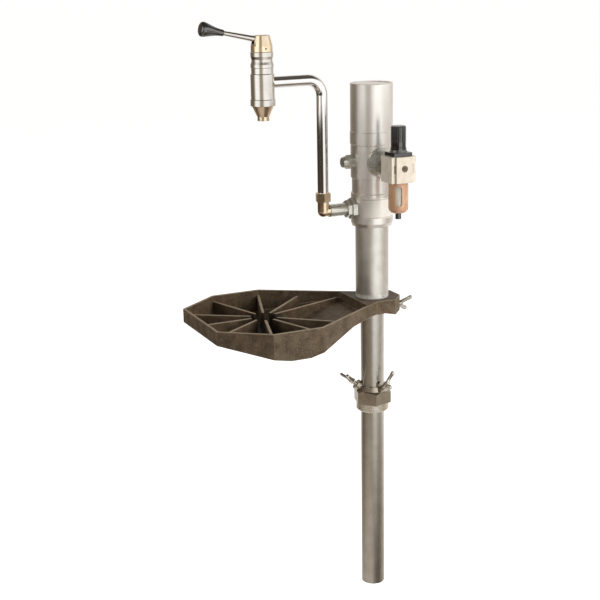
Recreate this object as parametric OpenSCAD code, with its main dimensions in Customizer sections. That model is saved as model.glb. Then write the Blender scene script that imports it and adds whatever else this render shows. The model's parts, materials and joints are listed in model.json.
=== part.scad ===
// Air-operated drum pump with spout, filter regulator and swivelling drip tray.
// Origin: pump axis, on the face of the bung adaptor that seats on the drum. +Z is up.
// The outlet, spout and tray point to -X, and the air inlet points to -Y.

/* [Suction tube and bung adaptor] */
// Outside diameter of the suction tube
tube_d = 42.4; // [38:0.2:46]
// Wall of the suction tube
tube_wall = 2.6; // [2:0.1:3.2]
// Length of the suction tube below the drum seat
tube_below = 364; // [300:1:900]
// Hexagon of the bung adaptor, across flats
bung_af = 61.5; // [60.5:0.5:64]
// Height of the bung hexagon
bung_h = 24; // [20:1:30]
// Outside diameter of the bung thread
thread_d = 59.6; // [58:0.2:60]
// Length of the bung thread
thread_h = 15.5; // [14:0.5:30]
// Height of the neck that carries the clamp bolts
neck_h = 8; // [7:0.5:12]
// Shank diameter of the clamp bolts and the tray bolt
bolt_d = 8; // [6:0.5:8]
// Rise of the clamp bolts above level, in degrees
bolt_rise = 40; // [36:1:44]

/* [Drip tray] */
// Height of the tray rim above the drum seat
tray_z = 200; // [190:1:215]
// Reach of the tray's far wall from the pump axis
tray_reach = 333; // [320:1:350]
// Half width of the far wall
tray_far_half = 81; // [75:1:90]
// Half width of the tray
tray_half = 140.5; // [132:0.5:150]
// Distance of the tray's hub from the pump axis
hub_x = 213; // [205:1:220]
// Thickness of the tray's walls
tray_wall = 4; // [3:0.5:5]
// Thickness of the tray's ribs
rib_t = 4.6; // [3.6:0.2:6]
// Depth of the tray at its deepest
tray_depth = 50; // [44:1:56]

/* [Pump and manifold] */
// Step from the suction tube out to the pump tube, on the radius
pump_step = 8.3; // [7:0.1:9.8]
// Wall of the pump tube
pump_wall = 3; // [2.5:0.1:3.6]
// Height of the underside of the manifold
manifold_z = 332; // [320:1:345]
// Outside diameter of the manifold and valve housing
body_d = 74; // [70:0.5:78]
// Height of the manifold below its neck
manifold_h = 59; // [54:1:66]
// Height of the manifold's neck
neck_ring_h = 26; // [20:1:30]
// Height of the valve housing
housing_h = 59; // [54:1:66]
// Height of the outlet axis above the underside of the manifold
outlet_rise = 32.5; // [30:0.5:36]
// Height of the air ports above the underside of the valve housing
port_rise = 30; // [27:0.5:34]

/* [Air motor] */
// Outside diameter of the motor cylinder
motor_d = 74.4; // [70:0.2:76]
// Outside diameter of the skirt at its foot
skirt_d = 76; // [74:0.2:79]
// Height of the skirt
skirt_h = 23; // [18:1:28]
// Bore of the motor cylinder
motor_bore = 68; // [64:0.5:70]
// Stroke of the air motor and the pump
stroke_l = 70; // [50:1:72]

/* [Spout and tap] */
// Distance of the upright pipe from the pump axis
pipe_x = 95.5; // [88:0.5:105]
// Outside diameter of the spout pipe
pipe_d = 19; // [16:0.5:20]
// Wall of the spout pipe
pipe_wall = 2; // [1.5:0.1:2.5]
// Bend radius of the spout pipe, at its middle line
pipe_bend = 27; // [24:1:34]
// Height of the level leg of the spout
leg_z = 592.4; // [592:0.2:640]
// Distance of the tap from the upright pipe
tap_reach = 109; // [100:1:130]
// Outside diameter of the tap
tap_d = 40; // [37:0.5:42]
// Length of the lever from the tap axis to the knob's end
lever_l = 108; // [100:1:130]
// Rise of the lever above level, in degrees
lever_rise = 12; // [8:1:16]

/* [Filter regulator] */
// Distance of the regulator's axis from the manifold's side
frl_reach = 59; // [59:0.5:69]
// Width of the regulator body
frl_w = 46; // [42:0.5:50]
// Height of the regulator body
frl_h = 44; // [40:1:48]
// Outside diameter of the bowl guard
guard_d = 34; // [32:0.5:36]
// Height of the bowl guard
guard_h = 54; // [48:1:58]
// Outside diameter of the pressure knob
knob_d = 25.5; // [22:0.5:27]
// Bore of the air port
port_d = 11.8; // [10:0.1:13]

/* [Hidden] */
$fn = 64;

// Clearance of a running fit, on the radius
fit = 0.05;
// Clearance between loose or clamped pieces, on the radius
play = 0.35;
// Overrun of every cut
over = 1;
// Small edge break
edge = 0.8;

// Suction end
pump_d = tube_d + 2 * pump_step;
tube_bore = tube_d - 2 * tube_wall;
collar_h = 7;
collar_plug_h = 14;
collar_gap = 0.5;
collar_z = tray_z + collar_gap;
collar_top = collar_z + collar_h;
plug_top = collar_top + collar_plug_h;
tube_seat_z = plug_top - tube_wall - edge;
foot_h = 34;
seat_h = 9;
cage_bar = 3;
ball_d = 18;
strainer_h = 12;
strainer_wall = 1.6;
strainer_hole_d = 5;

// Clamp bolts
bung_bore = tube_d + 2 * play;
bung_chamfer = 3;
lead_in = 2.5;
neck_d = 55;
boss_d = 19;
bolt_foot_z = bung_h + 3 * edge;
bolt_gap = 0.35;
bolt_left_az = 164;
bolt_right_az = 284;
bolt_left_turn = 106;
bolt_right_turn = 140;
bolt_l = 19;
boss_l = 12;
wing_hub_d = 11.5;
wing_hub_h = 9;
wing_span = 40;
wing_l = 21;
wing_t = 4.6;
wing_foot = 7;
wing_end = 9;

// Tray
tray_tip_x = -47;
tray_tip_half = 18;
arm_end_x = -25;
arm_start_x = 12;
arm_half = 43;
shoulder_x = 38;
waist_x = 164.5;
corner_x = 256;
shoulder_share = 0.16;
hub_r = 24;
rib_drop = 10;
deck_t = 5;
deck_x = 38;
tray_boss_d = 60;
tray_boss_h = 28;
tray_bolt_drop = 22;
tray_bolt_hub_gap = 6;
tray_bolt_turn = 40;
far_depth = 24;
corner_depth = 44;
arm_depth = 22.5;
arm_sag = 2;
lip_depth = 28;
tip_depth = 28;

// Pump
tube_id = pump_d - 2 * pump_wall;
liner_wall = 4.5;
liner_bore = tube_id - 2 * liner_wall;
socket_h = 12;
manifold_chamfer = 6;
neck_ring_d = 70;
neck_z = manifold_z + manifold_h;
housing_z = neck_z + neck_ring_h;
housing_top = housing_z + housing_h;
outlet_z = manifold_z + outlet_rise;
port_z = housing_z + port_rise;
chamber_roof = 17;
rod_d = 12;
gland_d = 22;
gland_h = 16;
gland_flange_d = 30;
gland_flange_h = 4;
outlet_bore = 14;
piston_h = 18;
piston_z = plug_top + 4 * edge;
small_ball_d = 12;
plate_t = 0.5;
plate_drop = 7;
plate_h = 36;
plate_angle = 104;
plate_clear = 0.03;

// Air motor and valve
spigot_h = 10;
cap_t = 6;
cap_recess_d = 66;
cap_recess = 1.2;
air_piston_h = 14;
air_piston_gap = 2;
stroke_spare_l = 3.5;
motor_h = spigot_h + air_piston_gap + air_piston_h + stroke_l + stroke_spare_l + cap_t;
motor_top = housing_top + motor_h;
seal_h = 4;
seal_depth = 5;
spool_d = 12;
spool_h = 26;
spool_x_share = 0.27;
spool_y_share = -0.19;
spool_x = body_d * spool_x_share;
spool_y = body_d * spool_y_share;
spool_waist = 7;
spool_bore_h = 38;
exhaust_d = 16;
seat_depth = 1.5;
exhaust_face = body_d / 2 - seat_depth;
exhaust_af = 21.5;
exhaust_hex_h = 13.5;
exhaust_dome_h = 7.5;
exhaust_thread_h = 12;
washer_d = 25;
washer_t = 1.5;
gallery_d = 6;
top_screw_d = 6;
top_screw_h = 1.6;
top_screw_x = 24;
top_screw_y = 16;

// Air inlet
flange_d = 50;
flange_sink = 7;
flange_face = body_d / 2 - flange_sink;
flange_h = 6;
flange_step = 5;
flange_ridge = 2.4;
inlet_bore = 16;
nut_af = 31;
nut_h = 24;
nipple_bore = 8;
nipple_af = 19;

// Outlet
outlet_face = body_d / 2 - seat_depth;
outlet_nut_af = 33;
outlet_nut_h = 9;
adaptor_af = 27.5;
adaptor_hex_h = 8;
barrel_d = 22;
elbow_d = 20;
elbow_neck_d = 19;
gland_nut_af = 24;
gland_nut_h = 15.5;
gland_nut_z = 382;

// Tap
tip_z = 530;
tip_d = 20;
tip_h = 7;
tip_bore = 11;
cone_h = 18;
cone_d = 37.5;
ring_d = 42;
ring_h = 11;
barrel_top_h = 42;
waist_h = 10;
waist_d = 37;
bead_h = 5;
bead_d = 38.5;
hollow_h = 13;
hollow_d = 35.5;
collar_ring_h = 7;
collar_ring_d = 38;
tap_bore = 22;
cap_gap = 0.6;
cap_h = 26.5;
cap_foot_d = 36.5;
cap_top_d = 27.5;
slot_w = 11.4;
slot_back = 11.2;
slot_front = 9.5;
pin_d = 3;
pin_rise = 5.5;
eye_d = 9;
lever_t = 10.6;
rod_over_pin = 13;
root_x = 8;
lever_root_d = 10;
lever_rod_d = 7.4;
pin_inset = 4;
grip_l = 42;
grip_foot_d = 10.5;
grip_d = 24.5;
spindle_d = 6;
spindle_lift = 4;
disc_d = 15;
disc_h = 3;
spring_wire = 1.4;
spindle_collar_h = 2;
spring_d = 13;

// Filter regulator
frl_core = 37;
frl_flange_w = 31;
frl_face = 22.5;
frl_slot = 3;
frl_slot_h = 14;
nipple_thread_h = 8;
port_depth = 12;
port_over_foot = 24;
frl_z = port_z - port_over_foot;
frl_y = body_d / 2 + frl_reach;
bonnet_t = 6.5;
bonnet_w = 34;
bonnet_depth = 34;
bonnet_collar_d = 27;
bonnet_collar_h = 8;
knob_gap = 0.6;
knob_h = 35.5;
knob_flutes = 20;
flute_d = 1.6;
screw_d = 6;
cavity_d = 24;
cavity_h = 18;
diaphragm_t = 1.2;
reg_wire = 2;
reg_spring_d = 17;
guard_wall = 1.4;
bowl_wall = 2.4;
window_w = 10;
window_h = 34;
window_az = 245;
window_rise = 3.5;
element_d = 16;
element_h = 26;
drain_d = 10;
drain_h = 10;
drain_stem = 5;

pipe_bore = pipe_d - 2 * pipe_wall;
tap_x = -pipe_x - tap_reach;
cone_z = tip_z + tip_h;
ring_z = cone_z + cone_h;
barrel_z = ring_z + ring_h;
waist_z = barrel_z + barrel_top_h;
bead_z = waist_z + waist_h;
hollow_z = bead_z + bead_h;
collar_ring_z = hollow_z + hollow_h;
tap_top = collar_ring_z + collar_ring_h;
cap_z = tap_top + cap_gap;
pin_z = cap_z + pin_rise;
spring_z = leg_z + pipe_d / 2 + edge;
frl_top = frl_z + frl_h;
bonnet_top = frl_top + bonnet_t;
knob_z = bonnet_top + bonnet_collar_h + knob_gap;
guard_bottom = frl_z - guard_h;

// Shapes used more than once

// A ring standing on the level z, open through its middle
module ring(z, h, d, bore) {
    translate([0, 0, z]) difference() {
        cylinder(h = h, d = d);
        translate([0, 0, -over]) cylinder(h = h + 2 * over, d = bore);
    }
}

// Turns the +Z direction of its children to -X, at the height z
module facing_x(z) {
    translate([0, 0, z]) rotate([0, -90, 0]) children();
}

// Turns the +Z direction of its children to -Y, at the height z
module facing_y(z) {
    translate([0, 0, z]) rotate([90, 0, 0]) children();
}

// A hexagon bar, measured across its flats
module hex(af, h) {
    cylinder(h = h, d = af / cos(30), $fn = 6);
}

// A hexagon with the corners of its outer end turned off
module nut_blank(af, h) {
    intersection() {
        hex(af, h);
        union() {
            cylinder(h = h - edge, d = 2 * af);
            translate([0, 0, h - edge])
                cylinder(h = edge, d1 = af / cos(30), d2 = af / cos(30) - 3 * edge);
        }
    }
}

// A wing screw: its shank below the level zero, its hub and wings above
module wing_screw(shank) {
    translate([0, 0, -shank]) cylinder(h = shank + edge, d = bolt_d);
    cylinder(h = wing_hub_h, d1 = wing_hub_d, d2 = wing_hub_d - 2 * edge);
    rotate([90, 0, 0]) translate([0, 0, -wing_t / 2]) linear_extrude(wing_t)
        for (side = [-1, 1]) polygon([
            [0, edge], [side * wing_hub_d / 2, edge],
            [side * (wing_span - wing_end) / 2, wing_l - wing_end / 2],
            [side * wing_span / 2, wing_l - wing_foot / 3],
            [side * (wing_span - wing_end) / 2, wing_l + wing_foot / 2],
            [side * wing_hub_d / 4, wing_hub_h + edge], [0, wing_hub_h]
        ]);
}

// The place of a clamp bolt: its axis meets the tube and rises outwards
module at_clamp(az) {
    rotate([0, 0, az]) translate([tube_d / 2, 0, bolt_foot_z]) rotate([0, 90 - bolt_rise, 0]) children();
}

// A coil spring as one turned piece: level coils on a thin web, from z to z + h
module coil(z, h, d, wire) {
    turns = floor(h / (2 * wire));
    pitch = (h - wire) / turns;
    translate([0, 0, z]) rotate_extrude() {
        for (k = [0 : turns]) translate([d / 2 - wire, k * pitch]) square(wire);
        translate([d / 2 - wire / 2 - edge / 4, 0]) square([edge / 2, h]);
    }
}

// Suction end

module bung_adaptor() {
    color([0.62, 0.61, 0.55]) difference() {
        union() {
            rotate([0, 0, bolt_left_az - 30]) intersection() {
                hex(bung_af, bung_h);
                union() {
                    cylinder(h = bung_h - bung_chamfer, d = 2 * bung_af);
                    translate([0, 0, bung_h - bung_chamfer])
                        cylinder(h = bung_chamfer, d1 = bung_af / cos(30), d2 = bung_af - bung_chamfer);
                }
            }
            translate([0, 0, bung_h - edge])
                cylinder(h = neck_h + edge, d1 = neck_d, d2 = neck_d - bung_chamfer);
            translate([0, 0, lead_in - thread_h]) cylinder(h = thread_h - lead_in, d = thread_d);
            translate([0, 0, -thread_h]) cylinder(h = lead_in, d1 = thread_d - 2 * lead_in, d2 = thread_d);
            for (az = [bolt_left_az, bolt_right_az]) intersection() {
                at_clamp(az) cylinder(h = boss_l, d = boss_d);
                translate([0, 0, bung_h / 2]) cylinder(h = 2 * bung_h, d = 2 * bung_af);
            }
        }
        translate([0, 0, -thread_h - over]) cylinder(h = thread_h + 3 * bung_h, d = bung_bore);
        for (az = [bolt_left_az, bolt_right_az])
            at_clamp(az) translate([0, 0, -boss_d])
                cylinder(h = boss_d + boss_l + over, d = bolt_d + 2 * play);
    }
}

module wing_bolt(az, turn) {
    color([0.75, 0.74, 0.70]) at_clamp(az) translate([0, 0, bolt_l]) rotate([0, 0, turn])
        wing_screw(bolt_l - bolt_gap - bolt_d / 2 * tan(bolt_rise));
}

module suction_tube() {
    color([0.60, 0.60, 0.57]) ring(-tube_below, tube_below + tube_seat_z, tube_d, tube_bore);
}

module foot_valve() {
    color([0.72, 0.58, 0.34]) translate([0, 0, -tube_below + strainer_h]) difference() {
        cylinder(h = foot_h, d = tube_bore - 2 * fit);
        translate([0, 0, -over]) cylinder(h = foot_h, d = ball_d * 0.75);
        difference() {
            translate([0, 0, seat_h]) cylinder(h = foot_h, d = ball_d + 2 * play);
            translate([-ball_d, -seat_h / 4, foot_h - cage_bar]) cube([2 * ball_d, seat_h / 2, cage_bar]);
        }
    }
}

module foot_ball() {
    seat_r = ball_d * 0.375;
    rise = sqrt(ball_d * ball_d / 4 - seat_r * seat_r) + edge / 8;
    color([0.80, 0.80, 0.80]) translate([0, 0, -tube_below + strainer_h + seat_h + rise])
        sphere(d = ball_d);
}

module strainer() {
    color([0.55, 0.55, 0.52]) translate([0, 0, -tube_below]) difference() {
        cylinder(h = strainer_h, d = tube_bore - 2 * fit);
        translate([0, 0, strainer_wall])
            cylinder(h = strainer_h, d = tube_bore - 2 * fit - 2 * strainer_wall);
        translate([0, 0, -over]) cylinder(h = strainer_h, d = strainer_hole_d);
        for (k = [0 : 5]) rotate([0, 0, 60 * k])
            translate([tube_bore / 4, 0, -over]) cylinder(h = strainer_h, d = strainer_hole_d);
    }
}

// Drip tray

// Turns of an outline's corners inwards by the distance d, for points listed counter-clockwise
function unit(v) = v / norm(v);
function inset(p, d) = [
    for (i = [0 : len(p) - 1])
        let (n = len(p), a = p[(i + n - 1) % n], b = p[i], c = p[(i + 1) % n])
        let (u = unit(b - a), v = unit(c - b), nu = [-u.y, u.x], nv = [-v.y, v.x])
        b + (nu + nv) * d / (1 + nu * nv)
];

// The plan of the tray: one half from the arm's tip to the far wall, then its mirror
tray_side = [
    [-tray_tip_x, tray_tip_half], [-arm_end_x, arm_half], [-arm_start_x, arm_half],
    [-shoulder_x, arm_half + (tray_half - arm_half) * shoulder_share],
    [-waist_x, tray_half], [-corner_x, tray_half], [-tray_reach, tray_far_half]
];
tray_plan = [
    for (p = tray_side) p,
    for (i = [len(tray_side) - 1 : -1 : 0]) [tray_side[i].x, -tray_side[i].y]
];

// The side view of the tray's underside, as depth below the rim against distance from the pump
tray_under = [
    [-tray_tip_x, tip_depth], [-arm_end_x, lip_depth], [0, arm_depth], [-shoulder_x * 1.2, arm_depth],
    [-waist_x / 2, arm_depth + arm_sag], [-waist_x, corner_depth], [-hub_x + hub_r, tray_depth],
    [-hub_x - hub_r / 2, tray_depth], [-corner_x, corner_depth], [-tray_reach, far_depth]
];

// The space between the underside, raised by lift, and the level top
module tray_profile(lift, top) {
    rotate([90, 0, 0]) translate([0, 0, -2 * tray_half]) linear_extrude(4 * tray_half) polygon([
        [tray_under[0].x + over, tray_z + top],
        for (p = tray_under) [p.x + (p.x == tray_under[0].x ? over : 0) - (p.x == -tray_reach ? over : 0),
            tray_z - p.y + lift],
        [-tray_reach - over, tray_z + top]
    ]);
}

module tray_recess(top) {
    intersection() {
        translate([0, 0, tray_z - 2 * tray_depth]) linear_extrude(4 * tray_depth)
            polygon(inset(tray_plan, tray_wall));
        tray_profile(tray_wall, top);
        translate([-2 * tray_reach - deck_x, -tray_reach, tray_z - 2 * tray_depth])
            cube([2 * tray_reach, 2 * tray_reach, 4 * tray_depth]);
    }
}

module tray_shell() {
    color([0.36, 0.31, 0.26]) difference() {
        union() {
            difference() {
                intersection() {
                    translate([0, 0, tray_z - 2 * tray_depth])
                        linear_extrude(2 * tray_depth) polygon(tray_plan);
                    tray_profile(0, over);
                }
                tray_recess(over);
                intersection() {
                    translate([0, 0, tray_z - 2 * tray_depth - deck_t]) linear_extrude(2 * tray_depth)
                        polygon(inset(tray_plan, tray_wall));
                    translate([tray_wall - deck_x, -tray_half, tray_z - 3 * tray_depth])
                        cube([tray_reach, 2 * tray_half, 4 * tray_depth]);
                }
            }
            ring(tray_z - tray_boss_h, tray_boss_h - deck_t, tray_boss_d, tube_d);
        }
        translate([0, 0, tray_z - 2 * tray_depth]) cylinder(h = 3 * tray_depth, d = tube_d + 2 * play);
        facing_x(tray_z - tray_bolt_drop)
            translate([0, 0, 2 * tray_tip_x]) cylinder(h = -2 * tray_tip_x, d = bolt_d + 2 * play);
    }
}

module tray_ribs() {
    rib_angles = [180, 146, 107, 71, 42, 18, -42, -71, -107, -146];
    color([0.38, 0.33, 0.28]) intersection() {
        tray_recess(-rib_drop);
        translate([-hub_x, 0, tray_z - 2 * tray_depth]) for (a = rib_angles) rotate([0, 0, a])
            translate([hub_r, -rib_t / 2, 0]) cube([tray_reach, rib_t, 2 * tray_depth]);
    }
}

module tray_wing_bolt() {
    reach = -tray_tip_x + tray_bolt_hub_gap;
    color([0.75, 0.74, 0.70]) translate([reach, 0, tray_z - tray_bolt_drop])
        rotate([0, 90, 0]) rotate([0, 0, tray_bolt_turn]) wing_screw(reach - tube_d / 2 - bolt_gap);
}

// Pump

module tube_collar() {
    color([0.66, 0.65, 0.61]) difference() {
        union() {
            translate([0, 0, collar_z]) cylinder(h = collar_h, d = pump_d);
            translate([0, 0, collar_top]) cylinder(h = collar_plug_h, d = tube_id - 2 * fit);
        }
        translate([0, 0, collar_z - over]) cylinder(h = tube_seat_z - collar_z + over, d = tube_d + 2 * fit);
        translate([0, 0, collar_z]) cylinder(h = collar_h + 2 * collar_plug_h, d = tube_bore);
        for (k = [0 : 5]) rotate([0, 0, 60 * k + bolt_left_az])
            translate([pump_d / 2 - pump_wall, 0, collar_z + collar_h / 2])
            rotate([0, 90, 0]) cylinder(h = 2 * pump_wall, d = collar_h / 2);
    }
}

module pump_tube() {
    color([0.68, 0.67, 0.62]) ring(collar_top, manifold_z + socket_h - collar_top, pump_d, tube_id);
}

module pump_liner() {
    color([0.70, 0.70, 0.70]) ring(plug_top, manifold_z + socket_h - plug_top, tube_id - 2 * fit, liner_bore);
}

module pump_piston() {
    seat_d = small_ball_d * 0.75;
    color([0.72, 0.58, 0.34]) translate([0, 0, piston_z]) difference() {
        cylinder(h = piston_h, d = liner_bore - 2 * fit);
        translate([0, 0, -over]) cylinder(h = piston_h / 2, d = seat_d);
        translate([0, 0, piston_h / 4]) cylinder(h = piston_h, d = small_ball_d + 2 * play);
        for (a = [0, 90]) rotate([0, 0, a]) translate([-liner_bore, 0, piston_h])
            rotate([0, 90, 0]) cylinder(h = 2 * liner_bore, d = piston_h / 3);
    }
}

module piston_ball() {
    seat_r = small_ball_d * 0.375;
    rise = sqrt(small_ball_d * small_ball_d / 4 - seat_r * seat_r) + edge / 8;
    color([0.8, 0.8, 0.8]) translate([0, 0, piston_z + piston_h / 4 + rise]) sphere(d = small_ball_d);
}

module piston_rod() {
    foot = piston_z + piston_h;
    color([0.80, 0.80, 0.82]) {
        translate([0, 0, foot]) cylinder(h = housing_top + spigot_h + air_piston_gap - foot, d = rod_d);
        for (a = [45, 135]) rotate([0, 0, a]) translate([-rod_d, -rod_d / 4, foot])
            cube([2 * rod_d, rod_d / 2, rod_d / 4]);
    }
}

module outlet_body() {
    color([0.74, 0.73, 0.69]) difference() {
        union() {
            translate([0, 0, manifold_z]) cylinder(h = manifold_chamfer, d1 = body_d - edge * 4, d2 = body_d);
            translate([0, 0, manifold_z + manifold_chamfer])
                cylinder(h = manifold_h - manifold_chamfer - edge, d = body_d);
            translate([0, 0, neck_z - edge]) cylinder(h = edge, d1 = body_d, d2 = body_d - 2 * edge);
            translate([0, 0, neck_z]) cylinder(h = neck_ring_h, d = neck_ring_d);
        }
        translate([0, 0, manifold_z - over]) cylinder(h = socket_h + over, d = pump_d + 2 * fit);
        translate([0, 0, manifold_z]) cylinder(h = manifold_h + neck_ring_h - chamber_roof, d = liner_bore);
        translate([0, 0, manifold_z]) cylinder(h = manifold_h + housing_h, d = gland_d);
        facing_x(outlet_z) cylinder(h = body_d, d = outlet_bore);
        facing_x(outlet_z) translate([0, 0, outlet_face])
            cylinder(h = body_d, d = outlet_nut_af / cos(30) + edge);
    }
}

module rod_gland() {
    roof = housing_z - chamber_roof;
    color([0.72, 0.58, 0.34]) {
        ring(roof, gland_h, gland_d - 2 * fit, rod_d + 2 * fit);
        ring(roof - gland_flange_h, gland_flange_h, gland_flange_d, rod_d + 2 * fit);
    }
}

module rating_plate() {
    r = body_d / 2 + plate_clear;
    color([0.82, 0.82, 0.80]) translate([0, 0, neck_z - plate_drop - plate_h])
        rotate([0, 0, 270 - plate_angle / 2]) rotate_extrude(angle = plate_angle)
        translate([r, 0]) square([plate_t, plate_h]);
}

// Air motor and its valve

module valve_housing() {
    color([0.76, 0.75, 0.71]) difference() {
        union() {
            translate([0, 0, housing_z]) cylinder(h = edge, d1 = body_d - 2 * edge, d2 = body_d);
            translate([0, 0, housing_z + edge]) cylinder(h = housing_h - 2 * edge, d = body_d);
            translate([0, 0, housing_top - edge]) cylinder(h = edge, d1 = body_d, d2 = body_d - 2 * edge);
            translate([0, 0, housing_top]) cylinder(h = spigot_h, d = motor_bore - 2 * fit);
        }
        translate([0, 0, housing_z - over])
            cylinder(h = housing_h + spigot_h + 2 * over, d = rod_d + 2 * play);
        translate([spool_x, spool_y, housing_z + port_rise - spool_bore_h / 2])
            cylinder(h = spool_bore_h, d = spool_d + 2 * fit);
        facing_y(port_z) translate([0, 0, -spool_y]) cylinder(h = body_d, d = port_d);
        facing_y(port_z) translate([0, 0, flange_face]) cylinder(h = body_d, d = flange_d + edge);
        translate([0, spool_y - gallery_d / 2, port_z])
            rotate([0, 90, 0]) cylinder(h = spool_x, d = gallery_d);
        facing_x(port_z) translate([0, 0, body_d / 4]) cylinder(h = body_d, d = exhaust_d + 2 * fit);
        facing_x(port_z) translate([0, 0, exhaust_face]) cylinder(h = body_d, d = washer_d + 2 * edge);
    }
}

module air_spool() {
    z = port_z - spool_bore_h / 2 + 2 * edge;
    color([0.80, 0.80, 0.82]) translate([spool_x, spool_y, z]) {
        cylinder(h = spool_h, d = spool_waist);
        for (k = [0 : 2]) translate([0, 0, k * (spool_h - spool_waist) / 2])
            cylinder(h = spool_waist, d = spool_d);
    }
}

module silencer_washer() {
    color([0.70, 0.66, 0.55]) facing_x(port_z) ring(exhaust_face, washer_t, washer_d, exhaust_d + 2 * fit);
}

module exhaust_silencer() {
    face = exhaust_face + washer_t;
    color([0.72, 0.72, 0.68]) facing_x(port_z) {
        translate([0, 0, face - exhaust_thread_h]) cylinder(h = exhaust_thread_h, d = exhaust_d);
        translate([0, 0, face]) hex(exhaust_af, exhaust_hex_h);
        translate([0, 0, face + exhaust_hex_h])
            cylinder(h = exhaust_dome_h / 3, d = exhaust_af);
        translate([0, 0, face + exhaust_hex_h + exhaust_dome_h / 3])
            cylinder(h = exhaust_dome_h * 2 / 3, d1 = exhaust_af, d2 = exhaust_af * 0.8);
    }
}

module motor_cylinder() {
    color([0.78, 0.77, 0.73]) difference() {
        union() {
            translate([0, 0, housing_top]) cylinder(h = edge, d1 = skirt_d - 2 * edge, d2 = skirt_d);
            translate([0, 0, housing_top + edge]) cylinder(h = skirt_h - 2 * edge, d = skirt_d);
            translate([0, 0, housing_top + skirt_h - edge]) cylinder(h = edge, d1 = skirt_d, d2 = motor_d);
            translate([0, 0, housing_top + skirt_h]) cylinder(h = motor_h - skirt_h - edge, d = motor_d);
            translate([0, 0, motor_top - edge]) cylinder(h = edge, d1 = motor_d, d2 = motor_d - edge);
        }
        translate([0, 0, housing_top - over]) cylinder(h = motor_h - cap_t + over, d = motor_bore);
        translate([0, 0, motor_top - cap_recess]) cylinder(h = cap_recess + over, d = cap_recess_d);
    }
}

module top_screw() {
    color([0.60, 0.59, 0.55]) translate([top_screw_x, top_screw_y, motor_top - cap_recess]) difference() {
        cylinder(h = top_screw_h, d = top_screw_d);
        translate([0, 0, top_screw_h / 2]) hex(top_screw_d / 2, top_screw_h);
    }
}

module air_piston() {
    foot = housing_top + spigot_h + air_piston_gap;
    color([0.70, 0.70, 0.70]) difference() {
        translate([0, 0, foot]) cylinder(h = air_piston_h, d = motor_bore - 2 * fit);
        ring(foot + (air_piston_h - seal_h) / 2, seal_h, 2 * motor_bore, motor_bore - 2 * seal_depth);
    }
}

module piston_seal() {
    foot = housing_top + spigot_h + air_piston_gap + (air_piston_h - seal_h) / 2;
    color([0.10, 0.10, 0.10]) ring(foot, seal_h, motor_bore - fit, motor_bore - 2 * seal_depth);
}

// Air inlet

module inlet_flange() {
    color([0.55, 0.56, 0.53]) facing_y(port_z) difference() {
        union() {
            translate([0, 0, flange_face]) cylinder(h = flange_h, d = flange_d);
            for (k = [1 : 4]) {
                z = flange_face + flange_h + (k - 1) * flange_ridge;
                translate([0, 0, z])
                    cylinder(h = flange_ridge / 2, d = flange_d - k * flange_ridge - flange_step);
                translate([0, 0, z + flange_ridge / 2])
                    cylinder(h = flange_ridge / 2, d = flange_d - k * flange_ridge - edge);
            }
        }
        translate([0, 0, flange_face - over]) cylinder(h = 3 * flange_face, d = inlet_bore + 2 * fit);
    }
}

flange_top = flange_face + flange_h + 4 * flange_ridge;

module union_nut() {
    color([0.45, 0.46, 0.43]) facing_y(port_z) translate([0, 0, flange_top]) difference() {
        nut_blank(nut_af, nut_h);
        translate([0, 0, -over]) cylinder(h = 2 * nut_h, d = inlet_bore + 2 * fit);
    }
}

module air_nipple() {
    nut_face = flange_top + nut_h;
    port_face = frl_y - frl_face;
    color([0.60, 0.60, 0.56]) facing_y(port_z) difference() {
        union() {
            translate([0, 0, flange_face]) cylinder(h = nut_face - flange_face, d = inlet_bore);
            translate([0, 0, nut_face]) hex(nipple_af, port_face - nut_face);
            translate([0, 0, port_face]) cylinder(h = nipple_thread_h, d = port_d - 2 * fit);
        }
        translate([0, 0, flange_face - over]) cylinder(h = 2 * frl_y, d = nipple_bore);
    }
}

// Filter regulator, drawn about its own axis

module at_frl() {
    translate([0, -frl_y, 0]) children();
}

module regulator_body() {
    h = frl_h;
    color([0.80, 0.75, 0.66]) at_frl() difference() {
        union() {
            translate([-frl_w / 2, -frl_core / 2, frl_z]) cube([frl_w, frl_core, h]);
            translate([-frl_flange_w / 2, -frl_face, frl_z]) cube([frl_flange_w, 2 * frl_face, h]);
        }
        // the two ports, the bowl's seat and the regulator's bore
        for (side = [-1, 1]) translate([0, 0, port_z]) rotate([90 * side, 0, 0])
            translate([0, 0, frl_face - port_depth]) cylinder(h = port_depth + over, d = port_d);
        translate([0, frl_face, port_z]) rotate([90, 0, 0]) cylinder(h = 2 * frl_face, d = nipple_bore);
        translate([0, 0, frl_z - over]) cylinder(h = frl_h / 3, d = guard_d - 2 * guard_wall - 2 * bowl_wall);
        translate([0, 0, frl_top - cavity_h + bonnet_t]) cylinder(h = cavity_h, d = cavity_d);
        translate([0, 0, frl_z]) cylinder(h = frl_h, d = screw_d);
        // slots in the body, beside the port plates
        for (side = [-1, 1]) for (x = [-1, 1])
            translate([x * (frl_flange_w + frl_slot) / 2 - frl_slot / 2, side * frl_core / 2 - frl_slot,
                port_z - frl_slot_h / 2]) cube([frl_slot, 2 * frl_slot, frl_slot_h]);
    }
}

module regulator_diaphragm() {
    color([0.2, 0.2, 0.2]) at_frl() translate([0, 0, frl_top - cavity_h + bonnet_t])
        cylinder(h = diaphragm_t, d = cavity_d - 2 * fit);
}

module regulator_spring() {
    foot = frl_top - cavity_h + bonnet_t + diaphragm_t;
    color([0.6, 0.6, 0.6]) at_frl() coil(foot, frl_top - foot, reg_spring_d, reg_wire);
}

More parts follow.
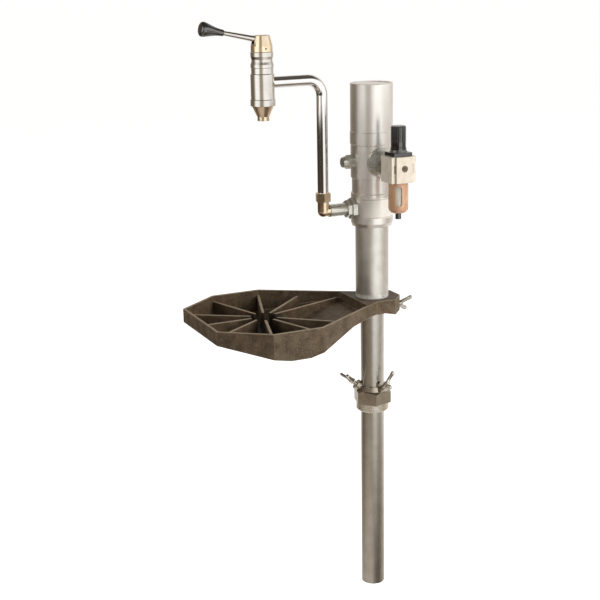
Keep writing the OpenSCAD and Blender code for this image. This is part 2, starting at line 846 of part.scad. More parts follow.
module regulator_bonnet() {
    color([0.16, 0.13, 0.12]) at_frl() difference() {
        union() {
            translate([-bonnet_w / 2, -bonnet_depth / 2, frl_top]) cube([bonnet_w, bonnet_depth, bonnet_t]);
            translate([0, 0, bonnet_top])
                cylinder(h = bonnet_collar_h / 2, d1 = bonnet_collar_d + 4 * edge, d2 = bonnet_collar_d);
            translate([0, 0, bonnet_top + bonnet_collar_h / 2])
                cylinder(h = bonnet_collar_h / 2, d = bonnet_collar_d);
        }
        translate([0, 0, frl_top - over]) cylinder(h = 3 * knob_h, d = screw_d + 2 * play);
        for (x = [-1, 1]) for (y = [-1, 1])
            translate([x * (bonnet_w / 2 - 3 * edge), y * (bonnet_depth / 2 - 3 * edge), bonnet_top - 2 * edge])
            cylinder(h = bonnet_t, d = 3 * edge);
    }
}

module regulator_knob() {
    color([0.07, 0.07, 0.07]) at_frl() {
        difference() {
            union() {
                translate([0, 0, knob_z]) cylinder(h = knob_h - 2 * edge, d = knob_d);
                translate([0, 0, knob_z + knob_h - 2 * edge])
                    cylinder(h = 2 * edge, d1 = knob_d, d2 = knob_d - 4 * edge);
            }
            for (k = [0 : knob_flutes - 1]) rotate([0, 0, k * 360 / knob_flutes])
                translate([knob_d / 2, 0, knob_z + knob_h / 4]) cylinder(h = knob_h, d = flute_d, $fn = 16);
        }
        translate([0, 0, frl_top + edge]) cylinder(h = knob_z - frl_top - edge, d = screw_d);
    }
}

// A cup with a rounded foot, open at the top, which hangs below the regulator
module cup(d, h, top) {
    r = d / 2;
    round_r = r * 0.55;
    translate([0, 0, top]) rotate_extrude() polygon([
        [0, 0], [r, 0], [r, round_r - h],
        for (a = [0 : 15 : 90]) [r - round_r + round_r * cos(a), round_r - h - round_r * sin(a)],
        [0, -h]
    ]);
}

module bowl_guard() {
    color([0.72, 0.56, 0.36]) at_frl() difference() {
        cup(guard_d, guard_h, frl_z);
        translate([0, 0, over]) cup(guard_d - 2 * guard_wall, guard_h - guard_wall + over, frl_z);
        translate([0, 0, guard_bottom - over]) cylinder(h = guard_d, d = drain_stem + 2 * play);
        for (a = [0, 180]) rotate([0, 0, window_az + a]) translate([0, 0, frl_z - guard_h / 2 + window_rise]) {
            for (end = [-1, 1]) translate([0, 0, end * (window_h - window_w) / 2])
                rotate([0, 90, 0]) cylinder(h = guard_d, d = window_w);
            translate([0, -window_w / 2, -window_h / 2 + window_w / 2])
                cube([guard_d, window_w, window_h - window_w]);
        }
    }
}

module filter_bowl() {
    d = guard_d - 2 * guard_wall - 2 * fit;
    color([0.92, 0.90, 0.84]) at_frl() difference() {
        cup(d, guard_h - guard_wall - fit, frl_z);
        translate([0, 0, over]) cup(d - 2 * bowl_wall, guard_h - guard_wall - bowl_wall + over, frl_z);
        translate([0, 0, guard_bottom - over]) cylinder(h = guard_d, d = drain_stem + 2 * play);
    }
}

module filter_element() {
    color([0.9, 0.9, 0.86]) at_frl() {
        ring(frl_z - element_h, element_h + frl_h / 3 - over, element_d, screw_d);
        translate([0, 0, frl_z - element_h - 2 * edge]) cylinder(h = 2 * edge, d = element_d + 4 * edge);
    }
}

module drain_cock() {
    color([0.08, 0.08, 0.08]) at_frl() {
        translate([0, 0, guard_bottom - play - drain_h]) cylinder(h = drain_h, d = drain_d);
        translate([0, 0, guard_bottom - play - edge]) cylinder(h = drain_h, d = drain_stem);
    }
}

// Outlet

module outlet_nut() {
    color([0.62, 0.60, 0.50]) facing_x(outlet_z) translate([0, 0, outlet_face]) difference() {
        nut_blank(outlet_nut_af, outlet_nut_h);
        translate([0, 0, -over]) cylinder(h = 3 * outlet_nut_h, d = outlet_bore + 2 * play);
    }
}

module outlet_adaptor() {
    foot = outlet_face + outlet_nut_h;
    neck_end = pipe_x - elbow_d / 2;
    color([0.58, 0.60, 0.54]) facing_x(outlet_z) difference() {
        union() {
            translate([0, 0, liner_bore / 2]) cylinder(h = foot - liner_bore / 2, d = outlet_bore - 2 * fit);
            translate([0, 0, foot]) nut_blank(adaptor_af, adaptor_hex_h);
            translate([0, 0, foot + adaptor_hex_h])
                cylinder(h = neck_end - foot - adaptor_hex_h - edge, d = barrel_d);
        }
        translate([0, 0, -over]) cylinder(h = 2 * pipe_x, d = pipe_bore * 0.7);
    }
}

module elbow() {
    foot = pipe_x - elbow_d / 2 - edge;
    color([0.78, 0.64, 0.38]) difference() {
        union() {
            facing_x(outlet_z) translate([0, 0, foot]) cylinder(h = pipe_x - foot, d = elbow_neck_d);
            translate([-pipe_x, 0, outlet_z]) sphere(d = elbow_d);
            translate([-pipe_x, 0, outlet_z]) cylinder(h = gland_nut_z - outlet_z, d = elbow_d);
        }
        facing_x(outlet_z) translate([0, 0, foot - over])
            cylinder(h = pipe_x - foot + over, d = pipe_bore * 0.7);
        translate([-pipe_x, 0, outlet_z]) cylinder(h = 2 * elbow_d, d = pipe_bore * 0.7);
    }
}

module gland_nut() {
    color([0.74, 0.58, 0.34]) translate([-pipe_x, 0, gland_nut_z]) difference() {
        rotate([0, 0, 15]) nut_blank(gland_nut_af, gland_nut_h);
        translate([0, 0, -over]) cylinder(h = 2 * gland_nut_h, d = pipe_d + 2 * fit);
    }
}

// Spout and tap

module spout_pipe() {
    foot = gland_nut_z + play;
    leg_foot = pipe_bend;
    leg_end = tap_reach - tap_bore / 2 - 2 * edge;
    color([0.72, 0.72, 0.72]) translate([-pipe_x, 0, 0]) {
        ring(foot, leg_z - pipe_bend - foot, pipe_d, pipe_bore);
        translate([-pipe_bend, 0, leg_z - pipe_bend]) rotate([90, 0, 0]) rotate_extrude(angle = 90)
            translate([pipe_bend, 0]) difference() {
                circle(d = pipe_d);
                circle(d = pipe_bore);
            }
        facing_x(leg_z) ring(leg_foot, leg_end - leg_foot, pipe_d, pipe_bore);
    }
}

module at_tap() {
    translate([tap_x, 0, 0]) children();
}

module tap_body() {
    color([0.78, 0.78, 0.76]) at_tap() difference() {
        rotate_extrude() polygon([
            [0, ring_z], [ring_d / 2, ring_z], [ring_d / 2, barrel_z - edge], [ring_d / 2 - edge, barrel_z],
            [tap_d / 2, barrel_z], [tap_d / 2, waist_z - edge], [waist_d / 2, waist_z],
            [waist_d / 2, bead_z - edge], [bead_d / 2, bead_z], [bead_d / 2, hollow_z],
            [hollow_d / 2, hollow_z + hollow_h / 3], [hollow_d / 2, hollow_z + 2 * hollow_h / 3],
            [collar_ring_d / 2, collar_ring_z], [collar_ring_d / 2, tap_top], [0, tap_top]
        ]);
        translate([0, 0, ring_z - over]) cylinder(h = bead_z - ring_z + over, d = tap_bore);
        translate([0, 0, ring_z]) cylinder(h = tap_top - ring_z + over, d = spindle_d + 2 * fit);
        translate([0, 0, leg_z]) rotate([0, 90, 0]) cylinder(h = tap_d, d = pipe_d + 2 * fit);
    }
}

module tap_nozzle() {
    seat_z = ring_z;
    color([0.76, 0.62, 0.38]) at_tap() difference() {
        union() {
            translate([0, 0, tip_z]) cylinder(h = tip_h, d = tip_d);
            translate([0, 0, cone_z]) cylinder(h = cone_h, d1 = tip_d + edge, d2 = cone_d);
            translate([0, 0, seat_z]) cylinder(h = ring_h / 2, d = tap_bore - 2 * fit);
        }
        translate([0, 0, tip_z - over]) cylinder(h = tip_h + cone_h + ring_h + 2 * over, d = tip_bore);
    }
}

module tap_spindle() {
    seat_z = ring_z + ring_h / 2 + edge / 8;
    top = pin_z - eye_d / 2 - spindle_lift - edge / 8;
    color([0.80, 0.80, 0.82]) at_tap() {
        translate([0, 0, seat_z]) cylinder(h = disc_h, d = disc_d);
        translate([0, 0, seat_z + disc_h]) cylinder(h = top - seat_z - disc_h, d = spindle_d);
        translate([0, 0, spring_z - spindle_collar_h]) cylinder(h = spindle_collar_h, d = spring_d);
    }
}

module tap_spring() {
    color([0.65, 0.65, 0.65]) at_tap() coil(spring_z, bead_z - spring_z, spring_d, spring_wire);
}

// The swept space of the lever inside the cap, wide enough for the whole stroke
module lever_slot() {
    floor_z = pin_z + rod_over_pin - lever_root_d / 2 - edge;
    translate([-slot_front, -slot_w / 2, pin_z - eye_d / 2 - edge / 2])
        cube([slot_front + slot_back, slot_w, 2 * cap_h]);
    translate([-2 * cap_foot_d, -slot_w / 2, floor_z]) cube([2 * cap_foot_d, slot_w, 2 * cap_h]);
}

module tap_cap() {
    color([0.78, 0.66, 0.42]) at_tap() difference() {
        union() {
            translate([0, 0, cap_z]) cylinder(h = cap_h / 3, d = cap_foot_d);
            translate([0, 0, cap_z + cap_h / 3]) cylinder(h = cap_h * 2 / 3, d1 = cap_foot_d, d2 = cap_top_d);
        }
        translate([0, 0, cap_z - over]) cylinder(h = pin_rise + over, d = spindle_d + 2 * play);
        lever_slot();
        translate([0, cap_foot_d, pin_z])
            rotate([90, 0, 0]) cylinder(h = 2 * cap_foot_d, d = pin_d + 2 * fit);
    }
}

module lever_pin() {
    l = cap_foot_d - 2 * pin_inset;
    color([0.25, 0.24, 0.22]) at_tap() translate([0, l / 2, pin_z])
        rotate([90, 0, 0]) cylinder(h = l, d = pin_d);
}

// Turns the +Z direction of its children along the lever, from its root inside the cap
module along_lever() {
    at_tap() translate([-root_x, 0, pin_z + rod_over_pin + root_x * tan(lever_rise)])
        rotate([0, lever_rise - 90, 0]) children();
}

grip_foot = (lever_l - root_x) / cos(lever_rise) - grip_l;
rod_l = grip_foot + grip_l / 2;

module lever_rod() {
    root_z = rod_over_pin + root_x * tan(lever_rise);
    lean = atan2(root_x, root_z);
    arm_w = eye_d - 2 * edge;
    color([0.80, 0.72, 0.60]) {
        at_tap() difference() {
            union() {
                translate([0, lever_t / 2, pin_z]) rotate([90, 0, 0]) cylinder(h = lever_t, d = eye_d);
                translate([0, 0, pin_z]) rotate([0, -lean, 0]) translate([-arm_w / 2, -lever_t / 2, 0])
                    cube([arm_w, lever_t, norm([root_x, root_z])]);
                translate([-root_x, lever_t / 2, pin_z + root_z]) rotate([90, 0, 0])
                    cylinder(h = lever_t, d = lever_root_d + 2 * edge);
            }
            translate([0, lever_t, pin_z]) rotate([90, 0, 0]) cylinder(h = 2 * lever_t, d = pin_d + 2 * fit);
        }
        along_lever() rotate_extrude() polygon([
            [0, 0], [lever_root_d / 2, 0], [lever_rod_d / 2, grip_foot], [lever_rod_d / 2, rod_l], [0, rod_l]
        ]);
    }
}

module lever_knob() {
    tip_r = grip_d / 2;
    color([0.06, 0.06, 0.06]) along_lever() translate([0, 0, grip_foot]) difference() {
        union() {
            cylinder(h = grip_l * 0.76, d1 = grip_foot_d, d2 = grip_d * 0.94);
            translate([0, 0, grip_l * 0.76]) cylinder(h = grip_l * 0.12, d1 = grip_d * 0.94, d2 = grip_d);
            translate([0, 0, grip_l * 0.88]) cylinder(h = grip_l * 0.12, d1 = grip_d, d2 = tip_r * 1.3);
        }
        translate([0, 0, -over]) cylinder(h = grip_l / 2 + over, d = lever_rod_d + 2 * fit);
    }
}

bung_adaptor();
wing_bolt(bolt_left_az, bolt_left_turn);  // wing_bolt_left
wing_bolt(bolt_right_az, bolt_right_turn);  // wing_bolt_right
suction_tube();
foot_valve();
foot_ball();
strainer();
tray_shell();
tray_ribs();
tray_wing_bolt();
tube_collar();
pump_tube();
pump_liner();
pump_piston();
piston_ball();
piston_rod();
outlet_body();
rod_gland();
rating_plate();
valve_housing();
air_spool();
exhaust_silencer();
silencer_washer();
motor_cylinder();
top_screw();
air_piston();
piston_seal();
inlet_flange();
union_nut();
air_nipple();
regulator_body();
regulator_bonnet();
regulator_diaphragm();
regulator_spring();
regulator_knob();
bowl_guard();
filter_bowl();
filter_element();
drain_cock();
outlet_nut();
outlet_adaptor();
elbow();
gland_nut();
spout_pipe();
tap_body();
tap_nozzle();
tap_cap();
tap_spindle();
tap_spring();
lever_pin();
lever_rod();
lever_knob();
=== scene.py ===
# %% [markdown]
# # Dressing an air-operated drum pump
#
# The pump arrives as a imported CAD model: metal tubes, a swinging spout, a lever tap, a
# filter regulator and a moulded drip tray. Its shapes and joints are settled there. This
# lesson gives each piece its finish, swaps a few plain solids for better-looking forms,
# and lights the whole for a catalogue picture. The frame is loaded first.

# %% Load the imported model
import json
import math

import bmesh
import bpy
from mathutils import Matrix, Vector


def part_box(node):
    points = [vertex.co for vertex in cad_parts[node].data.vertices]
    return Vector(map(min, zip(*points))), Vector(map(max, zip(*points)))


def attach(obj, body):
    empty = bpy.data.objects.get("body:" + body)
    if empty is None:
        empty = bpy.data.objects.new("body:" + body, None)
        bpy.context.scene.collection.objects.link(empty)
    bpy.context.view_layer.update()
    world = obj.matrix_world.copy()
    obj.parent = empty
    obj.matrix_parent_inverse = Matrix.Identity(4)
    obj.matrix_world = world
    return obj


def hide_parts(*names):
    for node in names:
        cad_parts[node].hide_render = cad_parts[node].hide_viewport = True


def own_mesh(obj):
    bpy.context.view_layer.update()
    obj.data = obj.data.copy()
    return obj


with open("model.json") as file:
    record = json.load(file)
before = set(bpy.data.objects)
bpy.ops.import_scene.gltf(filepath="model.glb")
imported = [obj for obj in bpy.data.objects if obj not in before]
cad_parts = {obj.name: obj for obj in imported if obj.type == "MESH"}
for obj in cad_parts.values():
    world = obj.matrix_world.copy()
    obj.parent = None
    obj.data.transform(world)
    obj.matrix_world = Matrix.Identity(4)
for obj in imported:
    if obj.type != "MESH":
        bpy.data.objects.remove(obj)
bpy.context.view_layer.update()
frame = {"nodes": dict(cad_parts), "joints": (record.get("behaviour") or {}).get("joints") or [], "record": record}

scene = bpy.context.scene
joints = {joint["name"]: joint for joint in frame["joints"]}

# %% [markdown]
# ## The camera
#
# A catalogue photograph of a tall thing is usually taken from a few steps away with a
# long lens, a little from above, so that the tray's inside shows. The camera could be
# aimed with a Track To constraint, but a level horizon can't be assumed: this one is
# rolled by one degree. Building its matrix from three directions keeps all three angles
# in plain sight.

# %% Place the camera
CAMERA_SPOT = Vector((-1.0365, -1.9493, 0.7931))
CAMERA_HEADING = math.radians(-24.612)
CAMERA_DROP = math.radians(15.2)
CAMERA_ROLL = math.radians(-1.089)
CAMERA_LENS = 75.72
CAMERA_SENSOR = 36
CAMERA_FAR = 100

ahead = Vector((
    -math.sin(CAMERA_HEADING) * math.cos(CAMERA_DROP),
    math.cos(CAMERA_HEADING) * math.cos(CAMERA_DROP),
    -math.sin(CAMERA_DROP),
))
level_right = Vector((math.cos(CAMERA_HEADING), math.sin(CAMERA_HEADING), 0))
level_up = level_right.cross(ahead)
right = level_right * math.cos(CAMERA_ROLL) + level_up * math.sin(CAMERA_ROLL)
up = level_up * math.cos(CAMERA_ROLL) - level_right * math.sin(CAMERA_ROLL)

camera_data = bpy.data.cameras.new("camera")
camera_data.lens = CAMERA_LENS
camera_data.sensor_width = CAMERA_SENSOR
camera_data.clip_end = CAMERA_FAR
camera = bpy.data.objects.new("camera", camera_data)
scene.collection.objects.link(camera)
turn = Matrix((right, up, -ahead)).transposed().to_4x4()
camera.matrix_world = Matrix.Translation(CAMERA_SPOT) @ turn
bpy.context.scene.camera = camera
bpy.context.scene.view_settings.view_transform = "Standard"
print("camera looks along", [round(v, 3) for v in ahead])

# %% [markdown]
# ## Smooth and sharp
#
# The CAD meshes are made of flat triangles. A turned part looks faceted unless its
# faces are shaded smoothly, and a hexagon looks melted if they all are. Splitting the
# shading by angle solves both: only edges sharper than 30 degrees stay crisp.

# %% Shade every CAD mesh by angle
SHARP_ANGLE = math.radians(30)


def shade_by_angle(piece, angle=SHARP_ANGLE):
    """Smooth shading, with a crease at every edge that is sharper than angle."""
    piece.data.shade_smooth()
    piece.data.set_sharp_from_angle(angle=angle)


for node in frame["nodes"].values():
    shade_by_angle(node)
print("shaded", len(frame["nodes"]), "meshes")

# %% [markdown]
# ## A small kit for finishes
#
# Every finish below is a node tree around one Principled shader. Numbers that are the
# same all over a surface are set on the shader itself. What varies, such as grain or
# stain, comes from noise in the object's own coordinates, so it sticks to the part
# when the part moves and never needs an unwrapped texture.

# %% Helpers for node trees


def new_finish(name, colour, roughness, metallic=0.0):
    """A material with one Principled shader: both are returned."""
    finish = bpy.data.materials.new(name)
    finish.use_nodes = True
    shader = finish.node_tree.nodes["Principled BSDF"]
    shader.inputs["Base Color"].default_value = (*colour, 1)
    shader.inputs["Roughness"].default_value = roughness
    shader.inputs["Metallic"].default_value = metallic
    finish.diffuse_color = (*colour, 1)
    return finish, shader


def add_node(finish, kind, **settings):
    """A new node in the tree of a finish or of the world."""
    node = finish.node_tree.nodes.new(kind)
    for name, value in settings.items():
        setattr(node, name, value)
    return node


def link(finish, source, target):
    """Joins an output to an input."""
    finish.node_tree.links.new(source, target)


finishes = {}
print("node helpers ready")

# %% [markdown]
# ## Grain and mixtures
#
# Real surfaces are never one even colour. The cheapest variation is noise, read in the
# part's own coordinates. Noise on its own is only a value from 0 to 1, so two more
# helpers go with it: one stretches a part of its range to whatever a socket needs, and
# one uses it to blend two colours.

# %% Helpers for grain and mixtures


def place_on_part(finish, stretch):
    """The part's own coordinates, in metres, multiplied by stretch along X, Y and Z."""
    place = add_node(finish, "ShaderNodeTexCoord")
    mapping = add_node(finish, "ShaderNodeMapping")
    mapping.inputs["Scale"].default_value = stretch
    link(finish, place.outputs["Object"], mapping.inputs["Vector"])
    return mapping.outputs["Vector"]


def grain(finish, size, stretch=(1, 1, 1), detail=4.0):
    """Noise from 0 to 1 whose patches are about size metres across."""
    noise = add_node(finish, "ShaderNodeTexNoise")
    noise.inputs["Scale"].default_value = 1 / size
    noise.inputs["Detail"].default_value = detail
    link(finish, place_on_part(finish, stretch), noise.inputs["Vector"])
    return noise.outputs["Fac"]


def between(finish, value, low, high, start, end):
    """Maps value from low..high to start..end, held at both ends."""
    node = add_node(finish, "ShaderNodeMapRange")
    names = ("From Min", "From Max", "To Min", "To Max")
    for name, number in zip(names, (low, high, start, end)):
        node.inputs[name].default_value = number
    link(finish, value, node.inputs["Value"])
    return node.outputs["Result"]


def blend_colours(finish, share, first, second):
    """A colour that goes from first to second as share goes from 0 to 1."""
    # A Mix node keeps its colour sockets at 6 and 7, and its mixed colour at 2.
    node = add_node(finish, "ShaderNodeMix", data_type="RGBA")
    for socket, colour in ((node.inputs[6], first), (node.inputs[7], second)):
        if isinstance(colour, tuple):
            socket.default_value = (*colour, 1)
        else:
            link(finish, colour, socket)
    link(finish, share, node.inputs[0])
    return node.outputs[2]


print("grain helpers ready")

# %% [markdown]
# ## Edges and bumps
#
# A CAD edge is perfectly sharp, but a real one is a little round and catches the light.
# A Bevel modifier would round every edge at the cost of many faces. The Bevel node does
# it when the picture is made: it bends the normal near an edge and leaves the mesh. How
# far it bends also tells where edges are, so a painted highlight can be laid on them.

# %% Helpers for edges and bumps


def rounded_normal(finish, radius):
    """The normal as it would be if every edge were rounded by radius metres."""
    rounded = add_node(finish, "ShaderNodeBevel", samples=6)
    rounded.inputs["Radius"].default_value = radius
    return rounded.outputs["Normal"]


def edge_share(finish, rounded):
    """1 on edges and 0 on open faces, from the rounded normal."""
    surface = add_node(finish, "ShaderNodeNewGeometry")
    dot = add_node(finish, "ShaderNodeVectorMath", operation="DOT_PRODUCT")
    link(finish, rounded, dot.inputs[0])
    link(finish, surface.outputs["Normal"], dot.inputs[1])
    return between(finish, dot.outputs["Value"], 0.98, 0.80, 0.0, 1.0)


def raise_surface(finish, shader, height, depth, rounded=None):
    """Bumps the surface by height, a value from 0 to 1, times depth in metres."""
    bump = add_node(finish, "ShaderNodeBump")
    bump.inputs["Distance"].default_value = depth
    link(finish, height, bump.inputs["Height"])
    if rounded:
        link(finish, rounded, bump.inputs["Normal"])
    link(finish, bump.outputs["Normal"], shader.inputs["Normal"])


print("edge helpers ready")

# %% [markdown]
# ## Turned and plated metals
#
# Most of the pump is metal with a bright skin: turned aluminium, zinc plate, galvanised
# tube, brass and chrome. They share one recipe. Cloudy patches change the colour a
# little, fine lines from the lathe or the drawing die change the roughness and tilt the
# surface, and edges get a painted highlight, a paler colour where a rounded edge would
# catch the light. The lines run round the part where it was turned, and along it where
# it was drawn, which is only a matter of which axis the noise is squeezed on.

# %% A recipe for metals
TURNED = (0.15, 0.15, 9)
DRAWN = (6, 6, 0.05)
PLAIN = (1, 1, 1)
METAL_EDGE = 0.0006
LINE_SIZE = 0.002


def metal(name, colour, cloud_colour, roughness, cloud_size, line_stretch,
          line_depth=0.00001, edge_highlight_colour=None, metallic=1.0):
    """A clouded metal with fine lines, and a painted highlight in the given edge colour on its edges."""
    finish, shader = new_finish(name, colour, roughness, metallic)
    rounded = rounded_normal(finish, METAL_EDGE)
    clouds = between(finish, grain(finish, cloud_size, detail=6.0), 0.35, 0.7, 0.0, 1.0)
    plate = blend_colours(finish, clouds, colour, cloud_colour)
    # Painted highlight: edges are painted paler, where a rounded edge would catch the light.
    if edge_highlight_colour:
        plate = blend_colours(finish, edge_share(finish, rounded), plate, edge_highlight_colour)
    link(finish, plate, shader.inputs["Base Color"])
    lines = grain(finish, LINE_SIZE, line_stretch, detail=2.0)
    spread = between(finish, lines, 0.3, 0.7, roughness * 0.85, roughness * 1.15)
    link(finish, spread, shader.inputs["Roughness"])
    raise_surface(finish, shader, lines, line_depth, rounded)
    finishes[name] = finish
    return finish, shader


print("metal recipe ready, turned lines are squeezed by", TURNED)

# %% [markdown]
# ## The pump's metals
#
# The motor is bright turned aluminium. The tap's barrel is nickelled, its cap, its nozzle
# and the elbow are brass, and the spout is chromed. The pump tube is satin and the ring
# at its foot is pale, while the galvanised suction tube is darker. Zinc is a warm,
# slightly greenish grey. The lever's pin and whatever shows only when the pump is opened
# get the inner steel. Each metal could be a material built by hand in the node editor,
# but one call of the recipe keeps them alike in scale and leaves only the colours, the
# roughness and the grain to choose.

# %% Mix the metals
# An edge colour, where one is given, is a painted highlight along the edges.
metal("silver_body", (0.95, 0.92, 0.87), (0.88, 0.85, 0.79), 0.34, 0.03, TURNED,
      edge_highlight_colour=(0.97, 0.95, 0.91), metallic=0.92)
metal("zinc_steel", (0.74, 0.72, 0.64), (0.60, 0.58, 0.51), 0.22, 0.012, PLAIN,
      edge_highlight_colour=(0.85, 0.80, 0.68))
metal("wing_zinc", (0.84, 0.81, 0.75), (0.62, 0.59, 0.53), 0.15, 0.008, PLAIN,
      line_depth=0.00003, edge_highlight_colour=(0.92, 0.89, 0.83))
metal("galvanised_tube", (0.66, 0.64, 0.59), (0.56, 0.54, 0.49), 0.27, 0.02, DRAWN)
metal("steel_inner", (0.60, 0.60, 0.60), (0.50, 0.50, 0.50), 0.30, 0.02, TURNED)
metal("steel_ball", (0.75, 0.75, 0.75), (0.70, 0.70, 0.70), 0.08, 0.01, PLAIN)
metal("brass", (0.92, 0.77, 0.57), (0.82, 0.64, 0.43), 0.16, 0.012, TURNED,
      line_depth=0.000003, edge_highlight_colour=(0.95, 0.86, 0.70))
metal("nickel", (0.72, 0.69, 0.64), (0.63, 0.60, 0.55), 0.14, 0.02, TURNED,
      edge_highlight_colour=(0.84, 0.81, 0.76))
metal("satin_tube", (0.84, 0.82, 0.76), (0.74, 0.72, 0.66), 0.38, 0.02, DRAWN,
      metallic=0.92)
metal("pale_ring", (0.80, 0.80, 0.76), (0.70, 0.70, 0.66), 0.32, 0.01, TURNED,
      edge_highlight_colour=(0.92, 0.91, 0.87), metallic=0.4)
metal("chrome", (0.87, 0.86, 0.84), (0.82, 0.81, 0.79), 0.09, 0.02, DRAWN,
      line_depth=0.000002)
metal("dark_fitting", (0.34, 0.34, 0.30), (0.22, 0.22, 0.20), 0.25, 0.01, PLAIN,
      edge_highlight_colour=(0.70, 0.69, 0.62))
metal("bright_fitting", (0.74, 0.73, 0.67), (0.60, 0.59, 0.53), 0.26, 0.01, TURNED,
      edge_highlight_colour=(0.90, 0.88, 0.83), metallic=0.84)
print("metals:", len(finishes))

# %% [markdown]
# ## Sums inside a finish
#
# Some finishes depend on where a spot lies: a thread ends at a seat, and grime sits in a
# middle. That takes sums, and in a node tree each sum is a Math node. A Script node could
# hold a whole formula, but takes a language of its own. So two small helpers add single
# nodes, and a third finds the colour that a sum is to be painted over.

# %% Helpers for sums


def calculate(finish, operation, first, second):
    """A sum, product or the like of a value and a second value or plain number."""
    node = add_node(finish, "ShaderNodeMath", operation=operation)
    link(finish, first, node.inputs[0])
    if isinstance(second, (int, float)):
        node.inputs[1].default_value = second
    else:
        link(finish, second, node.inputs[1])
    return node.outputs["Value"]


def split(finish, vector):
    """The X, Y and Z of a vector, as outputs by those names."""
    node = add_node(finish, "ShaderNodeSeparateXYZ")
    link(finish, vector, node.inputs["Vector"])
    return node.outputs


def colour_so_far(shader):
    """The colour that already reaches the shader, to paint over."""
    return shader.inputs["Base Color"].links[0].from_socket


print("sum helpers ready")

# %% [markdown]
# ## Threads
#
# A cut thread is a row of fine ridges. On a small bolt it's modelled as a real helix,
# further down. On the bung adaptor the pitch is 2.3 mm on a 60 mm diameter, and a bump
# of that pitch below the seat looks the same without touching the mesh. Freshly cut
# metal is also brighter than the hexagon over it, so the colour changes at the seat.

# %% A zinc finish with a thread below the seat
BUNG_PITCH = 0.00231
THREAD_BUMP = 0.0006
THREAD_SHARE = 0.22
THREAD_TOP, THREAD_FULL = -0.0006, -0.0010
CUT_TOP = -0.0004
CUT_ZINC = (0.78, 0.73, 0.62)

# Its edge colour is a painted highlight along the edges.
finish, shader = metal("zinc_thread", (0.53, 0.48, 0.39), (0.42, 0.38, 0.31), 0.27, 0.012,
                       PLAIN, edge_highlight_colour=(0.85, 0.80, 0.68))
height = split(finish, place_on_part(finish, PLAIN))["Z"]
turns = calculate(finish, "MULTIPLY", height, 2 * math.pi / BUNG_PITCH)
ridge = add_node(finish, "ShaderNodeMath", operation="SINE")
link(finish, turns, ridge.inputs[0])
below = between(finish, height, THREAD_TOP, THREAD_FULL, 0.0, THREAD_SHARE)
ridges = calculate(finish, "MULTIPLY", ridge.outputs["Value"], below)
raise_surface(finish, shader, ridges, THREAD_BUMP)
cut = between(finish, height, CUT_TOP, THREAD_FULL, 0.0, 1.0)
link(finish, blend_colours(finish, cut, colour_so_far(shader), CUT_ZINC),
     shader.inputs["Base Color"])
print("thread pitch", BUNG_PITCH)

# %% [markdown]
# ## Moulded and coated skins
#
# The drip tray, the regulator's coated body, its bowl guard and the knobs have a moulded
# or painted skin, not a bare metal one. Scanned textures would show it well, but would
# need each piece unwrapped. They share a second recipe instead: patches change the
# colour, pits change the roughness and tilt the surface, and rims get the same painted
# edge highlight as the metals.

# %% A recipe for moulded and coated parts
SKIN_EDGE = 0.001


def skin(name, colour, patch_colour, roughness, patch_size, pit_size, pit_depth,
         edge_highlight_colour=None, edge_radius=SKIN_EDGE):
    """A patched and pitted skin, with a painted highlight in the given edge colour on its rims."""
    finish, shader = new_finish(name, colour, roughness)
    rounded = rounded_normal(finish, edge_radius)
    patches = between(finish, grain(finish, patch_size, detail=8.0), 0.35, 0.68, 0.0, 1.0)
    coat = blend_colours(finish, patches, colour, patch_colour)
    # Painted highlight: rims are painted paler, where a rounded edge would catch the light.
    if edge_highlight_colour:
        coat = blend_colours(finish, edge_share(finish, rounded), coat, edge_highlight_colour)
    link(finish, coat, shader.inputs["Base Color"])
    pits = grain(finish, pit_size, detail=3.0)
    spread = between(finish, pits, 0.3, 0.7, roughness * 0.9, min(1.0, roughness * 1.15))
    link(finish, spread, shader.inputs["Roughness"])
    raise_surface(finish, shader, pits, pit_depth, rounded)
    finishes[name] = finish
    return finish, shader


print("skin recipe ready, edges are rounded by", SKIN_EDGE)

# %% [markdown]
# ## Coat, lacquer, knobs and rubber
#
# The regulator's body is die-cast with a beige coat. Its bowl guard is bronze-coloured
# under a clear lacquer, which the shader's own Coat layer makes. The knobs are glossy
# black plastic: a second Glossy shader would give their highlights too, and a raised IOR
# gives the same with one number. Seals are dull rubber and the filter is white.

# %% Mix the skins
# An edge colour, where one is given, is a painted highlight along the rims.
skin("beige_diecast", (0.66, 0.60, 0.51), (0.58, 0.52, 0.43), 0.42, 0.010, 0.0008, 0.00004,
     edge_highlight_colour=(0.84, 0.79, 0.70))
finish, shader = skin("bronze_guard", (0.55, 0.335, 0.20), (0.47, 0.25, 0.145), 0.30, 0.020,
                      0.001, 0.00003, edge_highlight_colour=(0.78, 0.60, 0.40))
shader.inputs["Coat Weight"].default_value = 1.0
shader.inputs["Coat Roughness"].default_value = 0.12
finish, shader = skin("black_plastic", (0.010, 0.009, 0.008), (0.016, 0.014, 0.012), 0.09,
                      0.010, 0.0006, 0.00001, edge_highlight_colour=(0.06, 0.056, 0.051),
                      edge_radius=0.0005)
shader.inputs["IOR"].default_value = 2.25
skin("black_rubber", (0.02, 0.02, 0.02), (0.03, 0.03, 0.03), 0.6, 0.010, 0.0008, 0.00003)
skin("white_filter", (0.80, 0.78, 0.70), (0.72, 0.69, 0.60), 0.8, 0.004, 0.0006, 0.0002)
print("finishes so far:", len(finishes))

# %% [markdown]
# ## The drip tray's brown
#
# The tray is moulded from a brown-grey compound with pale flecks in the skin. Its colour
# also holds painted light: a painted shade, near black, round the middle where the ribs
# meet, and a painted highlight on the tops of the ribs and the rim. Both could be painted
# on a texture, but they follow simple rules, so the rules are written down instead. The
# painted shade depends on the distance from the hub. The painted highlight is where the
# surface faces up, is as high as the ribs' tops, and isn't on the flat deck round the pump.

# %% Paint the tray
TRAY_HUB = Vector((-0.213, 0, 0.172))
